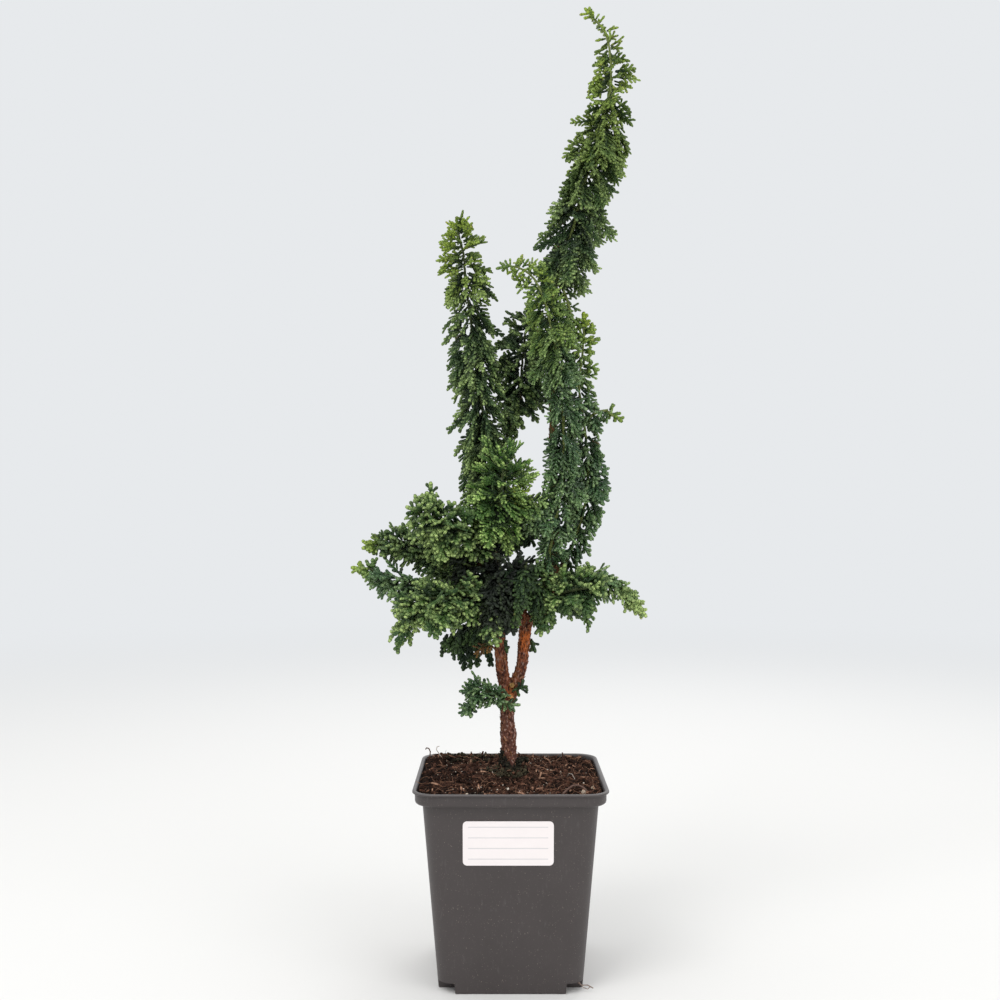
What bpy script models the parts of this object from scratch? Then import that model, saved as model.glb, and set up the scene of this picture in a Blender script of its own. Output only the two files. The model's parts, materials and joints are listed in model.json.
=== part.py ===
"""A young hinoki cypress bonsai, two limbed, in a square plastic nursery pot with a blank label.

Lengths are in millimetres and scaled to metres when a mesh is made. The origin is the middle of the
pot's base, +Z is up, and the label faces -Y.
"""
import math
import random

import bmesh
import bpy
import numpy as np
from mathutils import Vector
from mathutils import noise

MM = 0.001
GAP = 0.3  # between pieces that rest on or in each other
WELD = 0.0015 * MM

# Pot: a square tub with rounded corners, a hollow rim band and four raised corners
POT_HEIGHT = 115.7
BASE_HALF = 41.0
BODY_TOP_HALF = 49.8
BODY_TOP = 108.2
BAND_HALF = 53.8
LIP_HALF = 55.2
LIP_HEIGHT = 1.5
WALL = 1.4
BASE_CORNER = 9.0
BODY_CORNER = 10.5
NOTCH = 11.5
NOTCH_HEIGHT = 6.2
DRAIN_RADIUS = 3.2
CORNER_STEPS = 3

# Label: a blank sticker on the front wall
LABEL_WIDTH = 50.6
LABEL_HEIGHT = 25.2
LABEL_THICK = 0.4
LABEL_CORNER = 2.0
LABEL_X = -1.4
LABEL_Z = 87.0

# Soil: fills the tub and rises in a mound round the trunk
SOIL_EDGE = 113.2
SOIL_MOUND = 5.2
SOIL_LUMPS = 1.5
SOIL_SEED = 4.0
SOIL_RINGS = (0.96, 0.85, 0.72, 0.58, 0.44, 0.3, 0.18)

# Trunk and limbs: points on the centreline with the radius there
TRUNK = [(0.0, 5, 84, 3.6), (0.0, 5, 96, 5.0), (0.0, 5, 112, 6.2), (-0.4, 5, 119, 5.4),
         (-0.8, 5, 127, 4.7), (-0.8, 5, 138, 4.5), (-1.7, 5, 150, 4.4), (-1.2, 5, 160, 4.6)]
LEFT_LIMB = [(-1.2, 5, 159, 4.4), (-3.2, 5, 169, 4.0), (-4.8, 5, 177, 3.8), (-5.6, 5, 188, 3.7),
             (-6.6, 5, 198, 3.7), (-8.2, 5, 210, 3.6), (-9.6, 5, 226, 3.5), (-10.8, 5, 248, 3.4)]
RIGHT_LIMB = [(-0.8, 5, 158, 4.2), (1.6, 5, 165, 3.8), (5.0, 5, 172, 3.4), (7.2, 5, 180, 3.3),
              (8.2, 5, 190, 3.4), (9.4, 5, 203, 3.6)]
LEFT_ARM = [(9.4, 5, 202, 3.2), (7.6, 5, 210, 2.6), (6.6, 4, 219, 2.4), (6.4, 2, 228, 2.0)]
RIGHT_ARM = [(9.4, 5, 202, 3.3), (13.6, 5, 210, 2.9), (18.6, 5, 217, 2.8), (23.5, 6, 227, 2.7),
             (27.0, 9, 242, 2.6)]
PRUNED_STUB = [(-0.6, 3, 160, 2.2), (0.9, -0.8, 161.5, 1.9)]
TRUNK_SIDES = 7
TWIG_SIDES = 4
LIMB_STEP = 9.0
TWIG_STEP = 13.0
BARK_BUMPS = 0.12
BARK_START = 120.0  # below this the trunk is smooth

# Fronds: every frond is a flat hand of blunt lobes, in one to three pairs and one at the tip
LOBE_STEP = 6.0  # between pairs of lobes along a frond
LOBE_HALF = 2.5
LONGEST_LOBE = 11.0
LOBE_RISE = 0.42  # how steeply the side lobes cup upwards
FROND_HALF = 1.9
FROND_TOP = 1.3
FROND_UNDER = 0.7
LOWER_LOBE_ANGLE = 56
UPPER_LOBE_ANGLE = 40
PAIRS_FROM = (13.0, 21.0)  # showing lengths from which a frond has a second and a third pair of lobes
CORE_SIDES = 5
STEM_STEP = 14.0
LEAST_SPREAD = 0.6  # hanging fronds are longer than the shoot's reach by up to the inverse of this
CORE_SHARE = 0.24
CORE_LEAST = 1.6
TURNS_TRIED = (0.0, 0.45, -0.45, 0.9, -0.9)
GOLDEN_TURN = math.pi * (3 - math.sqrt(5))
SEED = 26

POT_GREY = (0.062, 0.066, 0.076)
LABEL_WHITE = (0.86, 0.83, 0.84)
SOIL_BROWN = (0.045, 0.026, 0.018)
BARK_RED = (0.19, 0.062, 0.032)
DEEP_GREEN = (0.022, 0.068, 0.024)
MID_GREEN = (0.05, 0.13, 0.03)
BRIGHT_GREEN = (0.11, 0.22, 0.04)
BLUE_GREEN = (0.06, 0.13, 0.085)
DRY_ORANGE = (0.33, 0.13, 0.02)

# Leafy shoots. Each axis is a list of (x, y, z, reach): points on its stem, from the limb that bears it
# to its tip, and how far its fronds reach from the stem there. bare is the length of brown wood before
# the green stem begins, lift the fronds' rise or fall in degrees at the base and at the tip, and flat
# how far they lie in the horizontal plane.
SHOOTS = [
    dict(name="crown_front", colour=BRIGHT_GREEN, bare=9.5, twig=(2.6, 2.6), fronds=16,
         lift=(-46, 40), flat=0.0, roll=0.9, sweep=0.2, core=0.3,
         axes=[[(-11, 5, 254, 8), (-9, -3, 261, 13), (-7, -11, 269, 18), (-5, -16, 279, 21),
                (-3.4, -19, 290, 19), (-4.4, -20, 300, 11)]]),
    dict(name="pad_upper_left", colour=BRIGHT_GREEN, bare=8, twig=(2.4, 2.2), fronds=16,
         lift=(-24, -8), flat=0.3, roll=0.7, sweep=0.6,
         axes=[[(-10.2, 5, 240, 8), (-18, -8, 251, 14), (-29.5, -18, 260, 16), (-41, -24, 265, 14),
                (-49, -26, 269, 12), (-55, -26, 272, 6)],
               [(-43, -22, 267, 4), (-45.5, -19, 276, 5), (-45.8, -18, 283, 2.5)]]),
    dict(name="branch_left_upper", colour=MID_GREEN, bare=12, twig=(2.3, 2.0), fronds=9,
         lift=(-28, 4), flat=0.2, roll=0.8, sweep=0.7,
         axes=[[(-10, 5, 234, 6), (-30, 3, 243.5, 12), (-46.5, 1, 248.5, 13), (-61, 0, 252.5, 11.5),
                (-74.5, 0, 252.5, 8), (-83, 0, 251, 3.5)]]),
    dict(name="branch_left_lower", colour=BLUE_GREEN, bare=12, twig=(2.2, 1.9), fronds=8,
         lift=(-40, 0), flat=0.3, roll=0.7, sweep=0.6,
         axes=[[(-9.3, 5, 220, 6), (-25, 2, 223, 10), (-41.5, -1, 226, 12), (-58, -4, 229, 12),
                (-71, -6, 233, 10.5), (-81.5, -6, 236.5, 7), (-88.5, -6, 238, 3)]]),
    dict(name="pad_lower_left", colour=BRIGHT_GREEN, bare=9, twig=(2.4, 2.1), fronds=13,
         lift=(-38, -26), flat=0.3, roll=0.7, sweep=0.5,
         axes=[[(-8.2, 5, 212, 7), (-19.5, -10, 218, 13), (-35, -22, 221.5, 16), (-48, -28, 221, 15),
                (-58, -30, 217.5, 10), (-62, -30, 215, 5)],
               [(-56, -29, 217, 4), (-62.5, -30, 206, 7), (-66.5, -30, 195, 4)]]),
    dict(name="branch_right", colour=BRIGHT_GREEN, bare=9, twig=(2.3, 2.0), fronds=7,
         lift=(-34, 0), flat=0.3, roll=0.7, sweep=0.7,
         axes=[[(21.5, 6, 222, 6), (39, 4, 231.5, 11), (52, 3, 234, 10.5), (61, 3, 229.5, 7.5),
                (69, 3, 223.5, 6.5), (75.5, 3, 217, 5.5), (79, 3, 212, 2.5)]]),
    dict(name="column_left", colour=MID_GREEN, bare=32, twig=(3.4, 2.6), fronds=26,
         lift=(-50, 50), flat=0.0, roll=1.1, sweep=0.0,
         axes=[[(-10.8, 5, 248, 9), (-11.6, 4, 270, 12), (-12, 3, 286, 17), (-13, 3, 304, 20),
                (-15, 3, 322, 20.5), (-19.8, 3, 347, 18), (-24, 3, 371, 17), (-25.4, 3, 390, 17),
                (-27.6, 3, 411, 17), (-28.4, 2, 424, 16), (-29.8, 1, 433, 12.5), (-31, 0, 439, 8)]]),
    dict(name="column_tall", colour=MID_GREEN, bare=136, twig=(2.6, 2.2), fronds=30,
         lift=(-50, 40), flat=0.0, roll=1.1, sweep=0.0,
         axes=[[(27, 9, 242, 8), (27, 13, 262, 8), (26.6, 15, 290, 8), (26.4, 16, 320, 8),
                (26.8, 15, 352, 9), (27.8, 14, 378, 11), (29.2, 12, 402, 12), (31.6, 10, 419, 17.5),
                (35.8, 9, 436, 20.5), (39.6, 8, 451, 21.5), (42.8, 8, 466, 21.5), (47.2, 8, 484, 21),
                (52.4, 8, 499, 18.5), (57.2, 8, 513, 16.5), (60.2, 8, 526, 15), (61, 8, 541, 14),
                (59.4, 7, 554, 10), (56, 7, 562, 6), (51.5, 6, 567, 4), (48.5, 6, 569.5, 3)]]),
    dict(name="column_middle", colour=BLUE_GREEN, bare=17, twig=(2.4, 2.1), fronds=22,
         lift=(-54, 36), flat=0.0, roll=1.1, sweep=0.0,
         axes=[[(22.5, 6, 225, 6), (22.6, -2, 236, 8), (23.4, -7, 248, 10), (26, -9, 262, 12.5),
                (29.4, -11, 279, 13.5), (31, -12, 296, 14), (31.4, -12, 314, 14),
                (30.8, -12, 332, 14), (29.4, -12, 349, 15), (26.8, -12, 366, 16.5), (23.8, -12, 381, 16.5),
                (20.2, -12, 395, 15), (15.6, -12, 406, 12), (9.6, -12, 412.5, 8), (2.6, -12, 416, 6),
                (-3, -12, 415.5, 3)]]),
    dict(name="column_right", colour=MID_GREEN, bare=15, twig=(2.3, 2.0), fronds=15,
         lift=(-50, 52), flat=0.0, roll=1.1, sweep=0.0,
         axes=[[(24, 6.5, 229, 7), (33, 8, 240, 10), (41, 8, 260, 10), (45.6, 8, 277, 12.5),
                (47.4, 8, 296, 13.5), (46, 8, 315, 13), (44, 8, 333, 14), (42.6, 8, 348, 11),
                (44.4, 8, 363, 10.5), (45.6, 8, 377, 8.5), (45, 8, 385, 4)],
               [(44.8, 7, 326, 5), (52, 4, 331, 7), (59, 2, 331.5, 6), (63, 1, 328, 2.5)]]),
    dict(name="shoot_inner", colour=DEEP_GREEN, bare=14, twig=(2.3, 2.0), fronds=12,
         lift=(-50, 40), flat=0.0, roll=1.1, sweep=0.0,
         axes=[[(-11.2, 5, 262, 6), (-9.5, 14, 277, 8), (-6.8, 20, 297, 8), (-3.4, 22, 312, 7),
                (1.4, 22, 328, 9.5), (5.2, 22, 343, 15.5), (7.8, 22, 361, 18.5), (9.4, 22, 378, 17),
                (11, 22, 390, 8)]]),
    dict(name="hanging_left", colour=DEEP_GREEN, bare=7, twig=(2.1, 1.8), fronds=6,
         lift=(-62, -62), flat=0.2, roll=0.7, sweep=0.4,
         axes=[[(-7.6, 5, 205, 5), (-15, 12, 203, 9), (-24, 15, 200, 12), (-32, 16, 195, 11),
                (-37, 16, 189, 5)],
               [(-17, 13, 201.5, 5), (-18.5, 14, 196, 10), (-19, 14.5, 189, 9), (-19, 14.5, 183, 4)]]),
    dict(name="recess_front", colour=DEEP_GREEN, bare=7.5, twig=(2.3, 2.1), fronds=10,
         lift=(-40, -44), flat=0.1, roll=0.9, sweep=0.2,
         axes=[[(-9.2, 5, 222, 7), (-8, -5, 231, 13), (-5, -11, 238, 15), (-1, -13.6, 240, 13),
                (2.4, -14.4, 239.6, 8)],
               [(-7, -9, 235, 6), (-6, -14, 226, 13), (-6.4, -17, 213, 12), (-7.6, -17, 204, 6)]]),
    dict(name="sprig_centre", colour=BLUE_GREEN, bare=5, twig=(1.9, 1.7), fronds=5,
         lift=(-44, -50), flat=0.1, roll=0.8, sweep=0.4,
         axes=[[(6.4, 2, 227, 4), (8, -8, 238, 8), (9, -17, 239, 9), (7.6, -21, 226, 9),
                (7, -22, 210, 5)]]),
    dict(name="pad_lower_right", colour=MID_GREEN, bare=9, twig=(2.3, 2.1), fronds=11,
         lift=(-38, -20), flat=0.3, roll=0.7, sweep=0.5,
         axes=[[(17.5, 5, 216, 6), (27, -5, 222, 13), (36, -11, 225, 15.5), (45, -13, 227, 12.5),
                (52, -12, 229.5, 7)],
               [(25.4, -3.6, 220.6, 5), (21.8, -7.4, 213, 8), (20, -9, 205, 8), (19.4, -9, 199, 4)]]),
    dict(name="pad_back_left", colour=MID_GREEN, bare=10, twig=(2.3, 2.1), fronds=6,
         lift=(-28, -10), flat=0.3, roll=0.7, sweep=0.6,
         axes=[[(-9.5, 5, 227, 6), (-22, 20, 233, 13), (-36, 32, 237, 14.5), (-46, 38, 236, 8)]]),
    dict(name="pad_back_centre", colour=DEEP_GREEN, bare=9, twig=(2.3, 2.1), fronds=6,
         lift=(-24, 4), flat=0.1, roll=0.8, sweep=0.4,
         axes=[[(-10.6, 5, 244, 6), (-9, 18, 252, 13), (-5, 30, 259, 16), (-1, 38, 267, 9)]]),
    dict(name="pad_back_right", colour=MID_GREEN, bare=9, twig=(2.2, 2.0), fronds=6,
         lift=(-30, -12), flat=0.3, roll=0.7, sweep=0.6,
         axes=[[(15, 5, 212, 5), (22, 20, 219, 12), (32, 32, 224, 14), (41, 39, 223, 8)]]),
    dict(name="sprig_trunk", colour=MID_GREEN, bare=4.2, twig=(1.7, 1.5), fronds=4,
         lift=(-20, -4), flat=0.3, roll=0.8, sweep=0.7,
         axes=[[(-2.6, 3, 157, 3), (-7.5, -6, 162, 8), (-13, -9, 165, 9), (-19.5, -10, 166.5, 8),
                (-24.5, -10, 166, 3)],
               [(-17, -9.5, 164, 3), (-22.5, -10, 159, 6), (-25, -10, 155, 3)],
               [(-7, -5.5, 160, 3), (-3, -6.6, 158.8, 4), (2, -6.8, 158.2, 3)]]),
    dict(name="sprig_fork", colour=DEEP_GREEN, bare=4.4, twig=(1.3, 1.2), fronds=2,
         lift=(-8, 4), flat=0.5, roll=0.5, sweep=0.7,
         axes=[[(1.6, 4.5, 164, 2), (5.2, -1.6, 166.4, 4), (8.6, -3.4, 168.4, 2)]]),
    dict(name="sprig_limb", colour=DEEP_GREEN, bare=6, twig=(1.3, 1.2), fronds=2,
         lift=(-20, -30), flat=0.5, roll=0.5, sweep=0.7,
         axes=[[(9, 5, 195, 2), (13.6, 8.8, 194.6, 4), (16.4, 9.6, 190, 2)]]),
    dict(name="dry_sprig", colour=DRY_ORANGE, bare=5.4, twig=(1.3, 1.2), fronds=2,
         lift=(-20, -18), flat=0.4, roll=0.5, sweep=0.7,
         axes=[[(-5.9, 5, 191, 2), (-10.6, 0.4, 191, 5), (-16, -2, 188, 4), (-19, -2.4, 187, 2)]]),
]


def clear_scene():
    """Remove whatever objects the file opened with."""
    for thing in list(bpy.data.objects):
        bpy.data.objects.remove(thing)


def finish_of(name, colour, roughness):
    """A Principled material; the same name gives the same material."""
    made = bpy.data.materials.get(name)
    if made is None:
        made = bpy.data.materials.new(name)
        made.use_nodes = True
        shader = made.node_tree.nodes["Principled BSDF"]
        shader.inputs["Base Color"].default_value = (*colour, 1)
        shader.inputs["Roughness"].default_value = roughness
        shader.inputs["Metallic"].default_value = 0
    return made


def new_object(name, vertices, faces, material=None):
    """An object from points in millimetres and faces that point outwards."""
    mesh = bpy.data.meshes.new(name)
    mesh.from_pydata([Vector(v) * MM for v in vertices], [], faces)
    mesh.update()
    made = bpy.data.objects.new(name, mesh)
    bpy.context.scene.collection.objects.link(made)
    if material:
        mesh.materials.append(material)
    return made


def rounded_square(half, corner, z):
    """Points round a square with round corners, counter-clockwise from above."""
    points = []
    for turn in range(4):
        quarter = turn * math.pi / 2
        middle = math.pi / 4 + quarter
        reach = math.sqrt(2) * (half - corner)
        cx, cy = reach * math.cos(middle), reach * math.sin(middle)
        for step in range(CORNER_STEPS + 1):
            angle = quarter + step * math.pi / 2 / CORNER_STEPS
            points.append((cx + corner * math.cos(angle), cy + corner * math.sin(angle), z))
    return points


def skin_rings(rings):
    """Vertices and faces of a closed solid through rings of equal length, each further on than the last."""
    count = len(rings[0])
    vertices = [point for ring in rings for point in ring]
    faces = [tuple(range(count))[::-1]]
    for row in range(len(rings) - 1):
        low, high = row * count, (row + 1) * count
        for i in range(count):
            j = (i + 1) % count
            faces.append((low + i, low + j, high + j, high + i))
    faces.append(tuple(range((len(rings) - 1) * count, len(rings) * count)))
    return vertices, faces


def loft(name, profile, material=None):
    """A solid through rounded squares given as (half width, corner radius, height), bottom to top."""
    vertices, faces = skin_rings([rounded_square(*ring) for ring in profile])
    return new_object(name, vertices, faces, material)


def block(name, low, high):
    """A box between two corners, as a cutter."""
    (x0, y0, z0), (x1, y1, z1) = low, high
    rings = [[(x0, y0, z), (x1, y0, z), (x1, y1, z), (x0, y1, z)] for z in (z0, z1)]
    return new_object(name, *skin_rings(rings))


def apply_modifier(target, modifier):
    """Apply one modifier of an object and keep the object's name."""
    graph = bpy.context.evaluated_depsgraph_get()
    result = bpy.data.meshes.new_from_object(target.evaluated_get(graph))
    target.modifiers.remove(modifier)
    target.data = result


def combine(target, operation, others, solver="EXACT"):
    """One Boolean of the target with a collection of the other objects, which are then removed."""
    group = bpy.data.collections.new("operands")
    for other in others:
        group.objects.link(other)
    modifier = target.modifiers.new("combine", "BOOLEAN")
    modifier.operation = operation
    modifier.operand_type = "COLLECTION"
    modifier.collection = group
    modifier.solver = solver
    apply_modifier(target, modifier)
    for other in others:
        bpy.data.objects.remove(other)
    bpy.data.collections.remove(group)


def keep_outer_skin(target):
    """Delete the sealed pockets that crossing fronds enclose, and any crumb that hangs loose."""
    shape = bmesh.new()
    shape.from_mesh(target.data)
    bmesh.ops.remove_doubles(shape, verts=shape.verts, dist=WELD)
    left = set(shape.faces)
    islands = []
    while left:
        front = [left.pop()]
        island = set(front)
        while front:
            for edge in front.pop().edges:
                for face in edge.link_faces:
                    if face in left:
                        left.remove(face)
                        island.add(face)
                        front.append(face)
        islands.append(island)
    largest = max(islands, key=len)
    bmesh.ops.delete(shape, geom=[f for island in islands if island is not largest for f in island],
                     context="FACES")
    shape.to_mesh(target.data)
    shape.free()


def corner_blocks(inner_half, top):
    """Four upright blocks under the pot's corners, from inner_half outwards and up to top."""
    outer, under = LIP_HALF + 5, -5
    made = []
    for sx in (-1, 1):
        for sy in (-1, 1):
            xs = sorted((sx * inner_half, sx * outer))
            ys = sorted((sy * inner_half, sy * outer))
            made.append(block("corner", (xs[0], ys[0], under), (xs[1], ys[1], top)))
    return made


def cavity_profile(inset):
    """The tub's inside, or the soil's outside if inset is larger than the wall."""
    floor = inset
    slope = (BODY_TOP_HALF - BASE_HALF) / BODY_TOP
    return [
        (BASE_HALF + slope * floor - inset, BASE_CORNER - inset / 2, floor),
        (BODY_TOP_HALF + slope * inset - inset, BODY_CORNER - inset / 2, BODY_TOP + inset),
        (BAND_HALF - inset, BODY_CORNER, BODY_TOP + inset + 0.6),
    ]


def drain_holes():
    """An upright round cutter through each raised corner of the floor."""
    made = []
    place = BASE_HALF - NOTCH / 2 - 0.6
    for sx in (-1, 1):
        for sy in (-1, 1):
            circle = [2 * math.pi * i / 12 for i in range(12)]
            rings = [[(sx * place + DRAIN_RADIUS * math.cos(a), sy * place + DRAIN_RADIUS * math.sin(a), z)
                      for a in circle] for z in (NOTCH_HEIGHT - 2, NOTCH_HEIGHT + WALL + 2)]
            made.append(new_object("drain", *skin_rings(rings)))
    return made


def make_pot():
    """The square tub: slanted walls, a rim band with a lip, and corners raised on a stepped floor."""
    plastic = finish_of("pot_plastic", POT_GREY, 0.48)
    lip_under = POT_HEIGHT - LIP_HEIGHT
    pot = loft("pot", [
        (BASE_HALF, BASE_CORNER, 0),
        (BODY_TOP_HALF, BODY_CORNER, BODY_TOP),
        (BAND_HALF - 0.9, BODY_CORNER + 1.5, BODY_TOP + 0.01),
        (BAND_HALF - 0.2, BODY_CORNER + 2, BODY_TOP + 1.0),
        (BAND_HALF, BODY_CORNER + 2, lip_under),
        (LIP_HALF - 0.1, BODY_CORNER + 2.5, lip_under + 0.01),
        (LIP_HALF, BODY_CORNER + 2.5, lip_under + 0.7),
        (LIP_HALF - 0.5, BODY_CORNER + 2.2, POT_HEIGHT),
    ], plastic)
    inside = cavity_profile(WALL)
    inside.append((BAND_HALF - WALL + 0.3, BODY_CORNER + 0.5, POT_HEIGHT - 0.8))
    inside.append((BAND_HALF - WALL + 0.9, BODY_CORNER + 1, POT_HEIGHT + 1))
    cavity = loft("cavity", inside)
    step = BASE_HALF - NOTCH
    combine(cavity, "DIFFERENCE", corner_blocks(step - WALL, NOTCH_HEIGHT + WALL))
    combine(pot, "DIFFERENCE", [cavity] + corner_blocks(step, NOTCH_HEIGHT) + drain_holes())
    return pot


def make_label():
    """A thin plate with round corners that lies along the slanted front wall."""
    slope = math.atan((BODY_TOP_HALF - BASE_HALF) / BODY_TOP)
    wall_y = -(BASE_HALF + (BODY_TOP_HALF - BASE_HALF) * LABEL_Z / BODY_TOP)
    along = Vector((0, -math.sin(slope), math.cos(slope)))
    out = Vector((0, -math.cos(slope), -math.sin(slope)))
    middle = Vector((LABEL_X, wall_y, LABEL_Z))
    outline = []
    for quarter, (sx, sy) in enumerate(((1, 1), (-1, 1), (-1, -1), (1, -1))):
        for step in range(CORNER_STEPS):
            angle = quarter * math.pi / 2 + step * math.pi / 2 / (CORNER_STEPS - 1)
            outline.append((sx * (LABEL_WIDTH / 2 - LABEL_CORNER) + LABEL_CORNER * math.cos(angle),
                            sy * (LABEL_HEIGHT / 2 - LABEL_CORNER) + LABEL_CORNER * math.sin(angle)))
    rings = [[middle + Vector((x, 0, 0)) + along * y + out * depth for x, y in outline]
             for depth in (GAP, GAP + LABEL_THICK)]
    return new_object("label", *skin_rings(rings), finish_of("label_paper", LABEL_WHITE, 0.55))


def soil_height(x, y):
    """Height of the soil's surface: a low mound round the trunk, with lumps."""
    from_trunk = math.hypot(x, y - TRUNK[0][1])
    mound = SOIL_MOUND * math.exp(-(from_trunk / 22) ** 2)
    lumps = SOIL_LUMPS * noise.noise(Vector((x / 9, y / 9, SOIL_SEED)))
    crumbs = 0.8 * SOIL_LUMPS * noise.noise(Vector((x / 3.7, y / 3.7, SOIL_SEED + 3)))
    return SOIL_EDGE + mound + lumps + crumbs


def make_soil():
    """The soil block: the tub's inside less a gap, a lumpy top, and a plain hole for the stem."""
    inset = WALL + GAP
    rings = [rounded_square(*ring) for ring in cavity_profile(inset)]
    rings.append(rounded_square(BAND_HALF - inset, BODY_CORNER, SOIL_EDGE - 0.8))
    edge = rings[-1]
    for share in SOIL_RINGS:
        rings.append([(x * share, y * share, soil_height(x * share, y * share)) for x, y, _ in edge])
    soil = new_object("soil", *skin_rings(rings), finish_of("soil_peat", SOIL_BROWN, 0.95))
    corners = corner_blocks(BASE_HALF - NOTCH - WALL - GAP, NOTCH_HEIGHT + WALL + GAP)
    stem = smooth_route(TRUNK, LIMB_STEP)[0]
    stem[0][2] -= GAP
    hole = tube("hole", stem[:, :3], stem[:, 3] + 1.1 * GAP, TRUNK_SIDES, bumps=BARK_BUMPS)
    combine(soil, "DIFFERENCE", corners + [hole])
    return soil


def smooth_route(points, spacing):
    """Rows of a smooth curve through rows of numbers, a step of spacing apart along the first three."""
    rows = np.array(points, float)
    padded = np.vstack([2 * rows[0] - rows[1], rows, 2 * rows[-1] - rows[-2]])
    fine = []
    for i in range(len(rows) - 1):
        a, b, c, d = padded[i:i + 4]
        for t in np.linspace(0, 1, 12, endpoint=False):
            fine.append(0.5 * (2 * b + (c - a) * t + (2 * a - 5 * b + 4 * c - d) * t ** 2
                               + (3 * b - a - 3 * c + d) * t ** 3))
    fine = np.array(fine + [rows[-1]])
    walked = np.concatenate([[0], np.cumsum(np.linalg.norm(np.diff(fine[:, :3], axis=0), axis=1))])
    count = max(2, round(walked[-1] / spacing) + 1)
    wanted = np.linspace(0, walked[-1], count)
    rows = np.column_stack([np.interp(wanted, walked, fine[:, k]) for k in range(fine.shape[1])])
    return rows, wanted


def tube(name, points, radii, sides, material=None, bumps=0.0, first_way=None, last_way=None):
    """A round closed tube along points, each ring square to the way the tube runs there.

    first_way and last_way turn its end faces another way, to lie flat to a neighbour's.
    """
    points = [Vector(p) for p in points]
    side = Vector((1, 0, 0))
    rings = []
    for i, (point, radius) in enumerate(zip(points, radii)):
        ahead = (points[min(i + 1, len(points) - 1)] - points[max(i - 1, 0)]).normalized()
        if i == 0 and first_way is not None:
            ahead = first_way
        if i == len(points) - 1 and last_way is not None:
            ahead = last_way
        side = (side - ahead * side.dot(ahead)).normalized()
        up = ahead.cross(side)
        ring = []
        for k in range(sides):
            angle = 2 * math.pi * k / sides
            spoke = side * math.cos(angle) + up * math.sin(angle)
            rough = bumps * min(1, max(0, (point.z - BARK_START) / 8))
            swell = 1 + rough * noise.noise((point + spoke * radius) * 0.31)
            ring.append(point + spoke * radius * swell)
        rings.append(ring)
    return new_object(name, *skin_rings(rings), material)


def every_few(rows):
    """One row in twenty, with the last."""
    return np.vstack([rows[:-1:20], rows[-1:]])


def split_axis(axis, bare):
    """An axis as evenly spaced rows, cut into its brown wood and its green stem, a gap apart.

    The third value is the way that the axis runs at the cut.
    """
    rows, walked = smooth_route(axis, 0.1)
    wood = rows[walked <= bare]
    green = rows[walked >= bare + GAP]
    way = Vector(green[5][:3] - green[0][:3]).normalized()
    if len(wood) > 1:
        wood = smooth_route(every_few(wood), TWIG_STEP)[0]
    return wood, smooth_route(every_few(green), STEM_STEP)[0], way


class Rods:
    """The round rods that stand for what is already placed, to keep the pieces clear of each other."""

    def __init__(self):
        self.starts, self.ends, self.radii, self.owners, self.frond = [], [], [], [], []

    def add(self, owner, start, end, radius, frond=False):
        self.starts.append(start)
        self.ends.append(end)
        self.radii.append(radius)
        self.owners.append(owner)
        self.frond.append(frond)

    def met(self, owner, rods):
        """How many other owners' rods these rods come too near to, and how many of the owner's fronds."""
        other = np.array([o != owner for o in self.owners])
        frond = np.array(self.frond)
        starts, ends = np.array(self.starts, float), np.array(self.ends, float)
        radii = np.array(self.radii)
        strangers, own = 0, 0
        for start, end, radius in rods:
            distance = rod_distances(np.array(start, float), np.array(end, float), starts, ends)
            strangers += int(((distance < radii + radius + GAP) & other).sum())
            own += int(((distance < 0.8 * (radii + radius)) & ~other & frond).sum())
        return strangers, own


def rod_distances(p, q, starts, ends):
    """Least distance between the line from p to q and each line from starts to ends."""
    along = np.linspace(0, 1, 7)[:, None]
    points = p + (q - p) * along
    spans = ends - starts
    squared = np.maximum((spans ** 2).sum(1), 1e-9)
    offset = points[:, None, :] - starts[None]
    share = np.clip((offset * spans[None]).sum(2) / squared, 0, 1)
    nearest = starts[None] + share[..., None] * spans[None]
    return np.linalg.norm(points[:, None, :] - nearest, axis=2).min(0)


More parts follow.
